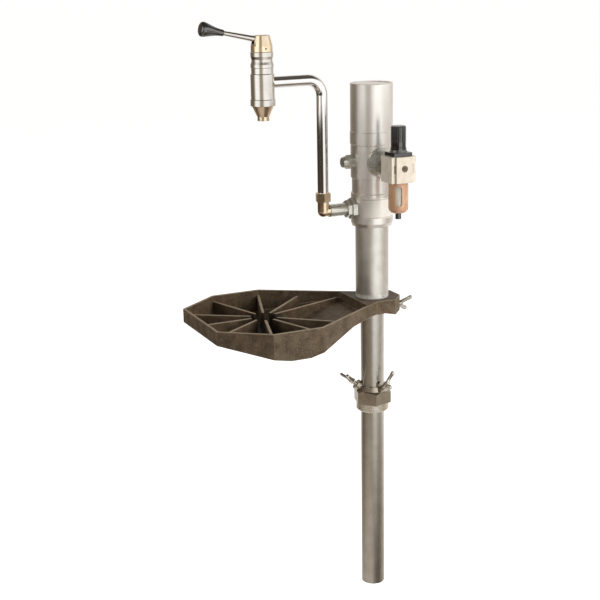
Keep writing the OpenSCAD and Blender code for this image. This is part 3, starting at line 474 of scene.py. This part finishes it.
# The painted shade fades out between these two distances from the hub.
HUB_SHADE_FROM, HUB_SHADE_TO = 0.026, 0.052
FLECK_SIZE = 0.0028
DECK_FROM, DECK_TO = -0.044, -0.050
# The second colour is painted shade round the hub, the third a painted highlight for the ribs' tops.
FLECK, HUB_SHADE, TOP_HIGHLIGHT = (0.24, 0.18, 0.115), (0.012, 0.009, 0.006), (0.36, 0.28, 0.195)
rib_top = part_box("tray_ribs")[1].z
# The painted highlight fades in over the last few millimetres below the ribs' tops.
highlight_from, highlight_to = rib_top - 0.004, rib_top - 0.001

# Its pale edge colour is a painted highlight on the tray's rims.
finish, shader = skin("tray_brown", (0.058, 0.040, 0.024), (0.116, 0.084, 0.053), 0.50, 0.016,
                      0.0022, 0.0005, edge_highlight_colour=(0.42, 0.34, 0.245), edge_radius=0.0020)
shader.inputs["Specular IOR Level"].default_value = 0.28
flecks = between(finish, grain(finish, FLECK_SIZE, detail=3.0), 0.55, 0.72, 0.0, 0.45)
coat = blend_colours(finish, flecks, colour_so_far(shader), FLECK)
spot = add_node(finish, "ShaderNodeTexCoord")
reach = add_node(finish, "ShaderNodeVectorMath", operation="DISTANCE")
link(finish, spot.outputs["Object"], reach.inputs[0])
reach.inputs[1].default_value = TRAY_HUB
# Painted shade: near black close to the hub, where the ribs meet.
hub_shade = between(finish, reach.outputs["Value"], HUB_SHADE_FROM, HUB_SHADE_TO, 0.96, 0.0)
coat = blend_colours(finish, hub_shade, coat, HUB_SHADE)
place = split(finish, spot.outputs["Object"])
# Painted highlight: up-facing spots at the ribs' height, off the deck, are painted pale.
faces_up = between(finish, split(finish, spot.outputs["Normal"])["Z"], 0.75, 0.95, 0.0, 0.8)
is_high = between(finish, place["Z"], highlight_from, highlight_to, 0.0, 1.0)
off_deck = between(finish, place["X"], DECK_FROM, DECK_TO, 0.0, 1.0)
top_highlight = calculate(finish, "MULTIPLY", faces_up, is_high)
top_highlight = calculate(finish, "MULTIPLY", top_highlight, off_deck)
link(finish, blend_colours(finish, top_highlight, coat, TOP_HIGHLIGHT), shader.inputs["Base Color"])
# Above this height the up-facing tops get the painted highlight.
print("the tray is worn above", round(highlight_from, 4))

# %% [markdown]
# ## The foil plate
#
# The rating plate is a bare foil sticker, brighter than the body, with a fine dark line
# near its top and another near its foot. A picture on the plate could hold them. Here
# they are found from the height on the plate, which stays sharp at any size.

# %% The foil of the rating plate
LINE_INSET = 0.002
LINE_HALF_WIDTH = 0.00025
LINE_INK = (0.10, 0.09, 0.08)
plate_low, plate_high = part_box("rating_plate")

finish, shader = new_finish("label_foil", (0.95, 0.92, 0.87), roughness=0.36, metallic=0.2)
height = split(finish, place_on_part(finish, PLAIN))["Z"]
from_middle = calculate(finish, "SUBTRACT", height, (plate_low.z + plate_high.z) / 2)
distance = add_node(finish, "ShaderNodeMath", operation="ABSOLUTE")
link(finish, from_middle, distance.inputs[0])
border = add_node(finish, "ShaderNodeMath", operation="COMPARE")
border.inputs[1].default_value = (plate_high.z - plate_low.z) / 2 - LINE_INSET
border.inputs[2].default_value = LINE_HALF_WIDTH
link(finish, distance.outputs["Value"], border.inputs[0])
foil = blend_colours(finish, grain(finish, size=0.02), (0.80, 0.77, 0.71), (0.74, 0.71, 0.64))
link(finish, blend_colours(finish, border.outputs["Value"], foil, LINE_INK),
     shader.inputs["Base Color"])
raise_surface(finish, shader, grain(finish, size=0.004), depth=0.00002)
finishes["label_foil"] = finish
print("plate is", round(plate_high.z - plate_low.z, 4), "tall")

# %% [markdown]
# ## The clear bowl
#
# The bowl behind the bronze guard is clear plastic gone a little milky. It could be a
# Transparent shader, but the Principled shader's own transmission keeps the rim
# reflections that make it read as a bowl. Its haze is only a change of roughness.

# %% The clear bowl
HAZE_SIZE = 0.006

finish, shader = new_finish("clear_bowl", (0.93, 0.90, 0.82), roughness=0.12)
shader.inputs["Transmission Weight"].default_value = 0.6
shader.inputs["IOR"].default_value = 1.45
haze = between(finish, grain(finish, HAZE_SIZE), 0.3, 0.7, 0.08, 0.2)
link(finish, haze, shader.inputs["Roughness"])
finishes["clear_bowl"] = finish
print("finishes:", sorted(finishes))

# %% [markdown]
# ## Dressing the CAD nodes
#
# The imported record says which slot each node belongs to, and most nodes take the finish
# of that name. A few metals that share a slot look different on the real pump, because
# one piece was nickelled or freshly turned and its neighbour wasn't. More slots could be
# added to the record, but what the piece is made of hasn't changed, so the few are listed
# here by node. The meshes stay as they are: only their materials are set.

# %% Give every CAD node its finish
OWN_FINISH = {
    "bung_adaptor": "zinc_thread",
    "inlet_flange": "bright_fitting",
    "outlet_nut": "bright_fitting",
    "outlet_adaptor": "bright_fitting",
    "tap_body": "nickel",
    "lever_rod": "nickel",
    "pump_tube": "satin_tube",
    "tube_collar": "pale_ring",
}
for row in frame["record"]["subparts"]:
    node = frame["nodes"][row["node"]]
    node.data.materials.clear()
    node.data.materials.append(finishes[OWN_FINISH.get(row["node"], row["material_slot"])])

# %% [markdown]
# ## Turning shapes and adding pieces
#
# A few CAD solids are swapped for finer ones below. Blender's Screw and Bevel modifiers
# could turn and round them by hand. Here their points are worked out in rings instead,
# because a thread or a wire's helix is then one formula. A shape is a stack of rings
# with as many points each, joined by bands of quads and closed at both ends. Sizes are
# in millimetres, as on a workshop drawing, and become metres when the points are made.

# %% Helpers for meshes
MM = 0.001
SWAPPED_SHARP = math.radians(40)


def closed_stack(points, count):
    """A closed shell from points listed in rings of count points each."""
    faces = []
    for start in range(0, len(points) - count, count):
        for k in range(count):
            a, b = start + k, start + (k + 1) % count
            faces.append((a, b, b + count, a + count))
    faces.append(tuple(reversed(range(count))))
    faces.append(tuple(range(len(points) - count, len(points))))
    return points, faces


def turned(rows, steps=48):
    """Turns rows of (radius, height) or (radius, height, thread depth, pitch), in mm."""
    points = []
    for row in rows:
        radius, height = row[:2]
        depth, pitch = row[2:] if len(row) == 4 else (0, 1)
        for k in range(steps):
            angle = 2 * math.pi * k / steps
            ridge = abs(2 * ((height / pitch - k / steps) % 1) - 1)
            r = radius - depth * ridge
            points.append(Vector((r * math.cos(angle), r * math.sin(angle), height)) * MM)
    return closed_stack(points, steps)


def new_piece(name, shells, place, body, slot, nodes):
    """One object from several closed shells, placed, riding on body, standing for nodes."""
    points, faces = [], []
    for shell_points, shell_faces in shells:
        faces += [tuple(i + len(points) for i in face) for face in shell_faces]
        points += [place @ point for point in shell_points]
    mesh = bpy.data.meshes.new(name)
    mesh.from_pydata(points, [], faces)
    draft = bmesh.new()
    draft.from_mesh(mesh)
    bmesh.ops.recalc_face_normals(draft, faces=draft.faces)
    draft.to_mesh(mesh)
    draft.free()
    piece = bpy.data.objects.new(name, mesh)
    scene.collection.objects.link(piece)
    mesh.materials.append(finishes[slot])
    shade_by_angle(piece, SWAPPED_SHARP)
    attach(piece, body)
    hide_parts(*nodes)
    return piece


print("mesh helpers ready, swapped pieces crease at", round(math.degrees(SWAPPED_SHARP)))

# %% [markdown]
# ## Wing screws
#
# The CAD wing screws are flat plates on a cone: enough for collision, too plain for a
# picture. A real one is cast: a thin web with a raised rim round each ear, on a turned
# hub with a cut thread. Each ear here is one closed outline, stepped inwards in loops
# from the rim down to the web. The threads are real helices: a lathe grid whose radius
# follows the turn as well as the height. A boolean with a coil would be cleaner
# geometry, but costs far more faces.

# %% The outline of an ear
EAR = [(2.0, 1.6), (5.6, 1.6), (8.6, 4.6), (12.0, 9.4), (15.6, 14.2), (18.9, 17.8), (19.6, 20.6),
       (18.2, 23.2), (15.4, 24.2), (12.4, 22.6), (9.8, 18.2), (7.2, 13.8), (4.4, 10.4), (1.8, 8.6)]
# From the web over the rim, round the edge and back to the web: inset and level, in mm.
EAR_LOOPS = [(2.1, 1.4), (1.5, 2.0), (0.5, 2.25), (0, 1.6), (0, -1.6), (0.5, -2.25),
             (1.5, -2.0), (2.1, -1.4)]


def smooth_loop(corners, steps):
    """A closed curve through the corners, with steps points between each two."""
    loop = []
    for k in range(len(corners)):
        p0, p1, p2, p3 = [Vector(corners[(k + j - 1) % len(corners)]) for j in range(4)]
        for step in range(steps):
            t = step / steps
            loop.append(0.5 * (2 * p1 + (p2 - p0) * t + (2 * p0 - 5 * p1 + 4 * p2 - p3) * t * t
                               + (3 * p1 - p0 - 3 * p2 + p3) * t ** 3))
    return loop


def moved_in(loop, distance):
    """The loop, listed anticlockwise, with every point moved inwards."""
    result = []
    for k, point in enumerate(loop):
        along = (loop[(k + 1) % len(loop)] - loop[k - 1]).normalized()
        result.append(point + Vector((-along.y, along.x)) * distance)
    return result


def ear(side):
    """One ear of a wing screw: side is 1 or -1."""
    outline = smooth_loop(EAR, 4)
    points = []
    for distance, level in EAR_LOOPS:
        points += [Vector((side * p.x, level, p.y)) * MM for p in moved_in(outline, distance)]
    return closed_stack(points, len(outline))


print("an ear has", len(ear(1)[0]), "points")

# %% [markdown]
# ## Three screws from one pattern
#
# Two wing screws clamp the pump in its bung adaptor, and a longer one holds the tray.
# They could be copies of one object stretched to fit, but a stretched thread has the
# wrong pitch. So one function casts them all and is told the shank's length. The clamp
# screws lean outwards by 50 degrees and the tray's lies level, on its own joint's spot.

# %% Cast the three wing screws
SHANK_RADIUS = 4.0
SHANK_PITCH = 1.25
SHANK_GROOVE = 0.62
SHANK_TIP, SHANK_TIP_RADIUS = 0.8, 3.2
SHANK_NECK = 0.6
ROWS_PER_THREAD = 6
HUB = [(3.4, -0.2), (5.0, 0.0), (5.7, 0.5), (5.65, 2.5), (5.3, 5.5), (4.9, 7.6), (4.2, 8.6),
       (2.6, 9.0)]


def wing_screw(name, place, shank, body, node):
    """A wing screw with a shank of so many mm, its hub's foot at place."""
    low, high = SHANK_TIP - shank, -SHANK_NECK
    count = round((high - low) / SHANK_PITCH * ROWS_PER_THREAD)
    thread = [(SHANK_RADIUS, low + (high - low) * k / count, SHANK_GROOVE, SHANK_PITCH)
              for k in range(count + 1)]
    shells = [turned([(SHANK_TIP_RADIUS, -shank), *thread, *HUB]), ear(1), ear(-1)]
    new_piece(name, shells, place, body, "wing_zinc", [node])


def spin(degrees, axis):
    """A rotation about the axis X, Y or Z."""
    return Matrix.Rotation(math.radians(degrees), 4, axis)


# Each clamp screw: degrees round the adaptor, then degrees turned on its own axis.
CLAMPS = {"left": (164, 106), "right": (284, 140)}
CLAMP_SEAT = Vector((0.0212, 0, 0.0264))
CLAMP_TILT = 50
CLAMP_REACH = Vector((0, 0, 0.019))
CLAMP_SHANK = 15.2
TRAY_SHANK = 31.4
TRAY_SCREW_TURN = 40

for side, (bearing, turn) in CLAMPS.items():
    place = (spin(bearing, "Z") @ Matrix.Translation(CLAMP_SEAT) @ spin(CLAMP_TILT, "Y")
             @ Matrix.Translation(CLAMP_REACH) @ spin(turn, "Z"))
    wing_screw(f"cast_wing_{side}", place, CLAMP_SHANK, f"clamp_{side}", f"wing_bolt_{side}")

tray_seat = Matrix.Translation(joints["tray_screw_turn"]["pos_m"])
wing_screw("cast_wing_tray", tray_seat @ spin(90, "Y") @ spin(TRAY_SCREW_TURN, "Z"),
           TRAY_SHANK, "tray_screw", "tray_wing_bolt")
print("wing screws cast")

# %% [markdown]
# ## The lever's knob
#
# The tap's lever ends in a long black grip, thin at the rod and full near the end, like a
# drop. The CAD knob is three plain cones, and their corners would break the highlight
# that runs along the real one. A Subdivision modifier would round them, but it would
# also shrink the knob, so it is turned again here from seventeen rows. Its place follows
# from the lever's own joint.

# %% Turn the lever's knob
KNOB = [(4.4, 0), (5.0, 0.25), (5.25, 0.9), (5.35, 3), (5.7, 7), (6.4, 12), (7.5, 17), (8.8, 22),
        (10.1, 26.5), (11.2, 30.5), (11.9, 33.5), (12.2, 36), (11.9, 38), (10.9, 39.8),
        (9.0, 41.1), (6.3, 41.8), (3.2, 42)]
LEVER_RISE = math.radians(12)
LEVER_REACH = 0.108
ROD_BEHIND_PIN = 0.008
ROD_OVER_PIN = 0.013

pin_x, pin_y, pin_z = joints["lever_lift"]["pos_m"]
root = Vector((pin_x - ROD_BEHIND_PIN, pin_y,
               pin_z + ROD_OVER_PIN + ROD_BEHIND_PIN * math.tan(LEVER_RISE)))
knob_foot = (LEVER_REACH - ROD_BEHIND_PIN) / math.cos(LEVER_RISE) - KNOB[-1][1] * MM
knob_place = (Matrix.Translation(root) @ Matrix.Rotation(LEVER_RISE - math.pi / 2, 4, "Y")
              @ Matrix.Translation((0, 0, knob_foot)))
new_piece("turned_knob", [turned(KNOB, 64)], knob_place, "lever", "black_plastic",
          ["lever_knob"])
low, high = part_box("lever_knob")
print("knob turned, the CAD knob's box is", [round(v, 4) for v in (*low, *high)])

# %% [markdown]
# ## The tap's spring
#
# The lever lifts the tap's spindle 4 mm against a coil spring. The CAD spring is a stack
# of rings as long as the real one, and it can't shorten when the spindle rises. A curve
# with a round bevel would make a helix quickly, but its length couldn't follow a joint.
# So the wire is swept in code, its end turns lying flat.

# %% Wind the tap's spring
WIRE = 1.4
TURNS = 6
# The wire's middle stays this share of its thickness inside both ends of the spring.
END_SHARE = 0.55


def wound(radius, height, steps=32, sides=8):
    """A helix of round wire, in mm, standing on its first turn."""
    points = []
    free_rise = (height - (2 + 2 * END_SHARE) * WIRE) / (TURNS - 2)
    for step in range(TURNS * steps + 1):
        turn = step / steps
        level = (min(turn, 1) * WIRE + max(0, min(turn, TURNS - 1) - 1) * free_rise
                 + max(0, turn - TURNS + 1) * WIRE + END_SHARE * WIRE)
        angle = 2 * math.pi * turn
        for side in range(sides):
            around_wire = 2 * math.pi * side / sides
            r = radius - WIRE / 2 + WIRE / 2 * math.cos(around_wire)
            points.append(Vector((r * math.cos(angle), r * math.sin(angle),
                                  level + WIRE / 2 * math.sin(around_wire))) * MM)
    return closed_stack(points, sides)


low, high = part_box("tap_spring")
seat = Vector(((low.x + high.x) / 2, (low.y + high.y) / 2, low.z))
tall = high.z - low.z
spring = new_piece("wound_spring", [wound((high.x - low.x) / 2 / MM, tall / MM)],
                   Matrix.Translation(seat), "spout", "steel_inner", ["tap_spring"])
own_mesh(spring)

# %% [markdown]
# ## Light
#
# Bright metal shows its surroundings more than its own colour, so the studio is in two
# parts. Three large soft lamps light what isn't metal, such as the tray and the knobs:
# the strongest stands to the camera's right, a weaker one far to the left, and a third
# overhead. They are hidden from mirror rays, because a lamp's own hard-edged rectangle
# in a bright tube looks like a window. A sky texture would be quicker, but it lights
# every side alike and leaves the tray flat.

# %% Soft boxes for everything that isn't metal
VIEW_TURN = math.atan2(CAMERA_SPOT.y, CAMERA_SPOT.x)
LAMP_AIM = Vector((0, 0, 0.25))


def around(turn_right, distance, height):
    """A spot seen from the pump: degrees to the right of the camera, distance and height."""
    angle = VIEW_TURN + math.radians(turn_right)
    return Vector((math.cos(angle) * distance, math.sin(angle) * distance, height))


def soft_box(name, turn_right, distance, height, width, tall, power, colour):
    """A rectangular lamp that faces the pump and isn't seen itself."""
    lamp = bpy.data.lights.new(name, "AREA")
    lamp.shape = "RECTANGLE"
    lamp.size = width
    lamp.size_y = tall
    lamp.energy = power
    lamp.color = colour
    box = bpy.data.objects.new(name, lamp)
    box.location = around(turn_right, distance, height)
    direction = LAMP_AIM - box.location
    box.rotation_euler = direction.to_track_quat("-Z", "Y").to_euler()
    scene.collection.objects.link(box)
    box.visible_camera = False
    box.visible_glossy = False


soft_box("main_box", turn_right=57, distance=2.6, height=0.9, width=1.2, tall=2.4,
         power=74, colour=(1.0, 0.98, 0.95))
soft_box("side_box", turn_right=-86, distance=2.8, height=0.8, width=0.9, tall=2.4,
         power=34, colour=(1.0, 0.96, 0.90))
soft_box("top_box", turn_right=30, distance=2.2, height=2.6, width=1.6, tall=1.6,
         power=26, colour=(1.0, 0.98, 0.96))

# %% [markdown]
# ## What the metal reflects
#
# The bright and dark streaks on a polished tube are a picture of the room. Here the room
# is a tall paper ring that stands round the pump and that only mirror rays can see. It
# is painted in rows, one for each height, and each row is a run of brightness by
# direction: white to the right for the long streak, a white patch high on the left, and
# brown darkness between them. Large lamps would do for plain chrome, but a painted ring
# lets every band be put where the picture needs it.

# %% The rows of the painted ring
# Over a stretch high up nothing changes, so two rows share one list.
HIGH_ROW = [(-180, 0.85), (-150, 0.50), (-124, 0.24), (-88, 0.18), (-74, 0.50), (-64, 1.40),
            (-36, 1.40), (-24, 0.44), (-4, 0.50), (6, 1.36), (100, 1.15), (122, 0.60),
            (180, 0.85)]

# Each row: its height, then pairs of degrees to the right of the camera and brightness.
RING_ROWS = [
    (-1.30, [(-180, 0.90), (-60, 0.70), (0, 0.60), (24, 0.20), (70, 0.20), (110, 0.70),
             (180, 0.90)]),
    (-0.91, [(-180, 0.70), (-120, 0.38), (-64, 0.52), (-8, 0.52), (12, 0.20), (34, 0.03),
             (74, 0.10), (110, 0.42), (180, 0.70)]),
    (-0.53, [(-180, 0.85), (-130, 0.30), (-98, 0.12), (-74, 0.32), (-35, 0.52), (-8, 0.42),
             (12, 0.62), (32, 0.76), (54, 0.42), (98, 0.38), (124, 0.80), (180, 0.90)]),
    (-0.38, [(-180, 1.00), (-140, 0.90), (-118, 0.20), (-97, 0.12), (-70, 0.18), (-30, 0.24),
             (-8, 0.34), (12, 0.85), (40, 0.88), (60, 0.55), (84, 0.55), (104, 0.90),
             (180, 1.00)]),
    (-0.20, [(-180, 0.90), (-140, 0.40), (-97, 0.08), (-60, 0.16), (-14, 0.20), (2, 0.50),
             (14, 0.98), (40, 0.94), (60, 0.64), (92, 0.44), (124, 0.85), (180, 0.95)]),
    (0.02, [(-180, 0.80), (-140, 0.40), (-97, 0.14), (-60, 0.36), (-30, 0.56), (-10, 0.58),
            (10, 1.30), (56, 1.40), (72, 1.05), (98, 0.46), (130, 0.60), (180, 0.85)]),
    (0.17, [(-180, 0.80), (-150, 0.30), (-126, 0.07), (-96, 0.04), (-60, 0.08), (-10, 0.06),
            (6, 0.12), (15, 1.10), (50, 1.10), (62, 0.34), (100, 0.24), (124, 0.70),
            (180, 0.85)]),
    (0.37, [(-180, 0.80), (-150, 0.30), (-126, 0.07), (-96, 0.04), (-60, 0.05), (-10, 0.04),
            (6, 0.06), (15, 1.10), (50, 1.10), (62, 0.30), (100, 0.22), (124, 0.70),
            (180, 0.85)]),
    (0.42, HIGH_ROW),
    (1.10, HIGH_ROW),
    (1.50, [(-180, 0.85), (-150, 0.60), (-120, 0.10), (-60, 0.12), (0, 0.06), (60, 0.05),
            (100, 0.08), (140, 0.60), (180, 0.85)]),
]
print("ring rows:", len(RING_ROWS))

# %% [markdown]
# ## Painting the ring
#
# An image could be painted and wrapped round the ring. With a colour ramp for each row,
# the bands stay numbers that can be moved one at a time. The direction of a spot on the
# ring picks the place on every ramp, and its height blends from one ramp to the next.
# Dim light is tinted brown and bright light is left white, as in a room with warm walls.

# %% Paint the ring
WARMTH = Vector((1.0, 0.76, 0.52))
RING_GAIN = 1.45


def glowing(name):
    """A paint that only gives off light, and isn't a lamp to the pieces round it."""
    paint, shader = new_finish(name, (0, 0, 0), 1.0)
    shader.inputs["Specular IOR Level"].default_value = 0
    paint.cycles.emission_sampling = "NONE"
    return paint, shader


def tinted(light):
    """Dim light is brown and bright light is white."""
    share = min(light, 1.0)
    return (*(light / RING_GAIN * (w + (1 - w) * share) for w in WARMTH), 1)


def row_ramp(paint, turn, row):
    """A colour ramp that runs once round the ring."""
    ramp = add_node(paint, "ShaderNodeValToRGB")
    stops = ramp.color_ramp.elements
    while len(stops) < len(row):
        stops.new(0.5)
    for stop, (degrees, light) in zip(stops, row):
        stop.position = (degrees + 180) / 360
        stop.color = tinted(light)
    link(paint, turn, ramp.inputs["Fac"])
    return ramp.outputs["Color"]


ring_paint, shader = glowing("ring_paint")
spot = split(ring_paint, add_node(ring_paint, "ShaderNodeTexCoord").outputs["Object"])
bearing = calculate(ring_paint, "ARCTAN2", spot["Y"], spot["X"])
turn = between(ring_paint, bearing, -math.pi, math.pi, 0.0, 1.0)
whole = row_ramp(ring_paint, turn, RING_ROWS[0][1])
for (low_row, _), (high_row, row) in zip(RING_ROWS, RING_ROWS[1:]):
    rise = between(ring_paint, spot["Z"], low_row, high_row, 0.0, 1.0)
    whole = blend_colours(ring_paint, rise, whole, row_ramp(ring_paint, turn, row))
link(ring_paint, whole, shader.inputs["Emission Color"])
shader.inputs["Emission Strength"].default_value = RING_GAIN
print("ring painted, white is", RING_GAIN)

# %% [markdown]
# ## Standing the ring up
#
# The ring is a bare band of faces, 96 of them, so that its bands don't look broken in a
# mirror. Surfaces that face up would look out over it into the white, so a dark lid lies
# on top. Blender's cylinder would do for both, but its caps and its band would need
# separate paints.

# %% Stand the ring round the pump and lay a lid on it
RING_RADIUS = 1.2
RING_LOW, RING_HIGH = -2.6, 1.9
RING_STEPS = 96
LID_HALF = 1.1 * RING_RADIUS
LID_COLOUR = (0.10, 0.085, 0.07, 1)


def backdrop(name, corners, faces, paint):
    """A part of the studio, made of bare faces."""
    mesh = bpy.data.meshes.new(name)
    mesh.from_pydata(corners, [], faces)
    mesh.materials.append(paint)
    thing = bpy.data.objects.new(name, mesh)
    scene.collection.objects.link(thing)
    return thing


def level_square(name, half, height, paint):
    """A square that lies level, reaching half to each side of the axis."""
    corners = [(-half, -half, height), (half, -half, height), (half, half, height),
               (-half, half, height)]
    return backdrop(name, corners, [(0, 1, 2, 3)], paint)


def mirror_only(thing):
    """Leaves a thing visible in reflections and nowhere else."""
    thing.visible_camera = False
    thing.visible_diffuse = False
    thing.visible_shadow = False
    thing.visible_transmission = False


corners = []
for step in range(RING_STEPS):
    angle = 2 * math.pi * step / RING_STEPS
    for height in (RING_LOW, RING_HIGH):
        corners.append((math.cos(angle) * RING_RADIUS, math.sin(angle) * RING_RADIUS, height))
faces = [(k, k + 1, (k + 3) % len(corners), (k + 2) % len(corners))
         for k in range(0, len(corners), 2)]
ring = backdrop("ring", corners, faces, ring_paint)
ring.rotation_euler.z = VIEW_TURN
mirror_only(ring)

lid_paint, shader = glowing("lid_paint")
shader.inputs["Emission Color"].default_value = LID_COLOUR
shader.inputs["Emission Strength"].default_value = 1
lid = level_square("lid", LID_HALF, RING_HIGH, lid_paint)
mirror_only(lid)
print("ring of", len(faces), "faces placed, with its lid")

# %% [markdown]
# ## The white behind the pump
#
# A catalogue picture has a white background. In a real studio that takes a white sheet
# with lamps of its own. Here the world does it: rays from the camera, off a mirror or
# through clear plastic find pure white, while all others find a dim warm grey, so that
# the lamps still shape the object.

# %% The world
WORLD_COLOUR = (1, 0.985, 0.96, 1)
WORLD_STRENGTH = 0.16

world = bpy.data.worlds.new("studio")
scene.world = world
world.use_nodes = True
dim = world.node_tree.nodes["Background"]
dim.inputs["Color"].default_value = WORLD_COLOUR
dim.inputs["Strength"].default_value = WORLD_STRENGTH
white = add_node(world, "ShaderNodeBackground")
white.inputs["Color"].default_value = (1, 1, 1, 1)
white.inputs["Strength"].default_value = 1
rays = add_node(world, "ShaderNodeLightPath").outputs
seen = calculate(world, "MAXIMUM", rays["Is Camera Ray"], rays["Is Glossy Ray"])
seen = calculate(world, "MAXIMUM", seen, rays["Is Transmission Ray"])
mix = add_node(world, "ShaderNodeMixShader")
link(world, seen, mix.inputs[0])
link(world, dim.outputs["Background"], mix.inputs[1])
link(world, white.outputs["Background"], mix.inputs[2])
link(world, mix.outputs["Shader"], world.node_tree.nodes["World Output"].inputs["Surface"])
print("world's strength", WORLD_STRENGTH)

# %% [markdown]
# ## The floor
#
# The floor is a wide pale square just under the suction tube's end. A curved backdrop
# would hide the horizon, and so does a floor that is big enough. For the camera alone it
# is lifted to white, so that it meets the background without a line. Mirrors don't see
# it, but it still throws a soft light up under the tray.

# %% The floor
FLOOR_SIZE = 80
FLOOR_GAP = 0.0005
FLOOR_LIFT = 0.83
floor_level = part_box("suction_tube")[0].z - FLOOR_GAP

floor_paint, shader = new_finish("floor_paint", (0.86, 0.855, 0.845), 0.9)
shader.inputs["Specular IOR Level"].default_value = 0.1
rays = add_node(floor_paint, "ShaderNodeLightPath").outputs
lift = calculate(floor_paint, "MULTIPLY", rays["Is Camera Ray"], FLOOR_LIFT)
shader.inputs["Emission Color"].default_value = (1, 1, 1, 1)
link(floor_paint, lift, shader.inputs["Emission Strength"])
floor = level_square("floor", FLOOR_SIZE / 2, floor_level, floor_paint)
floor.visible_glossy = False
print("floor at", round(floor_level, 4))
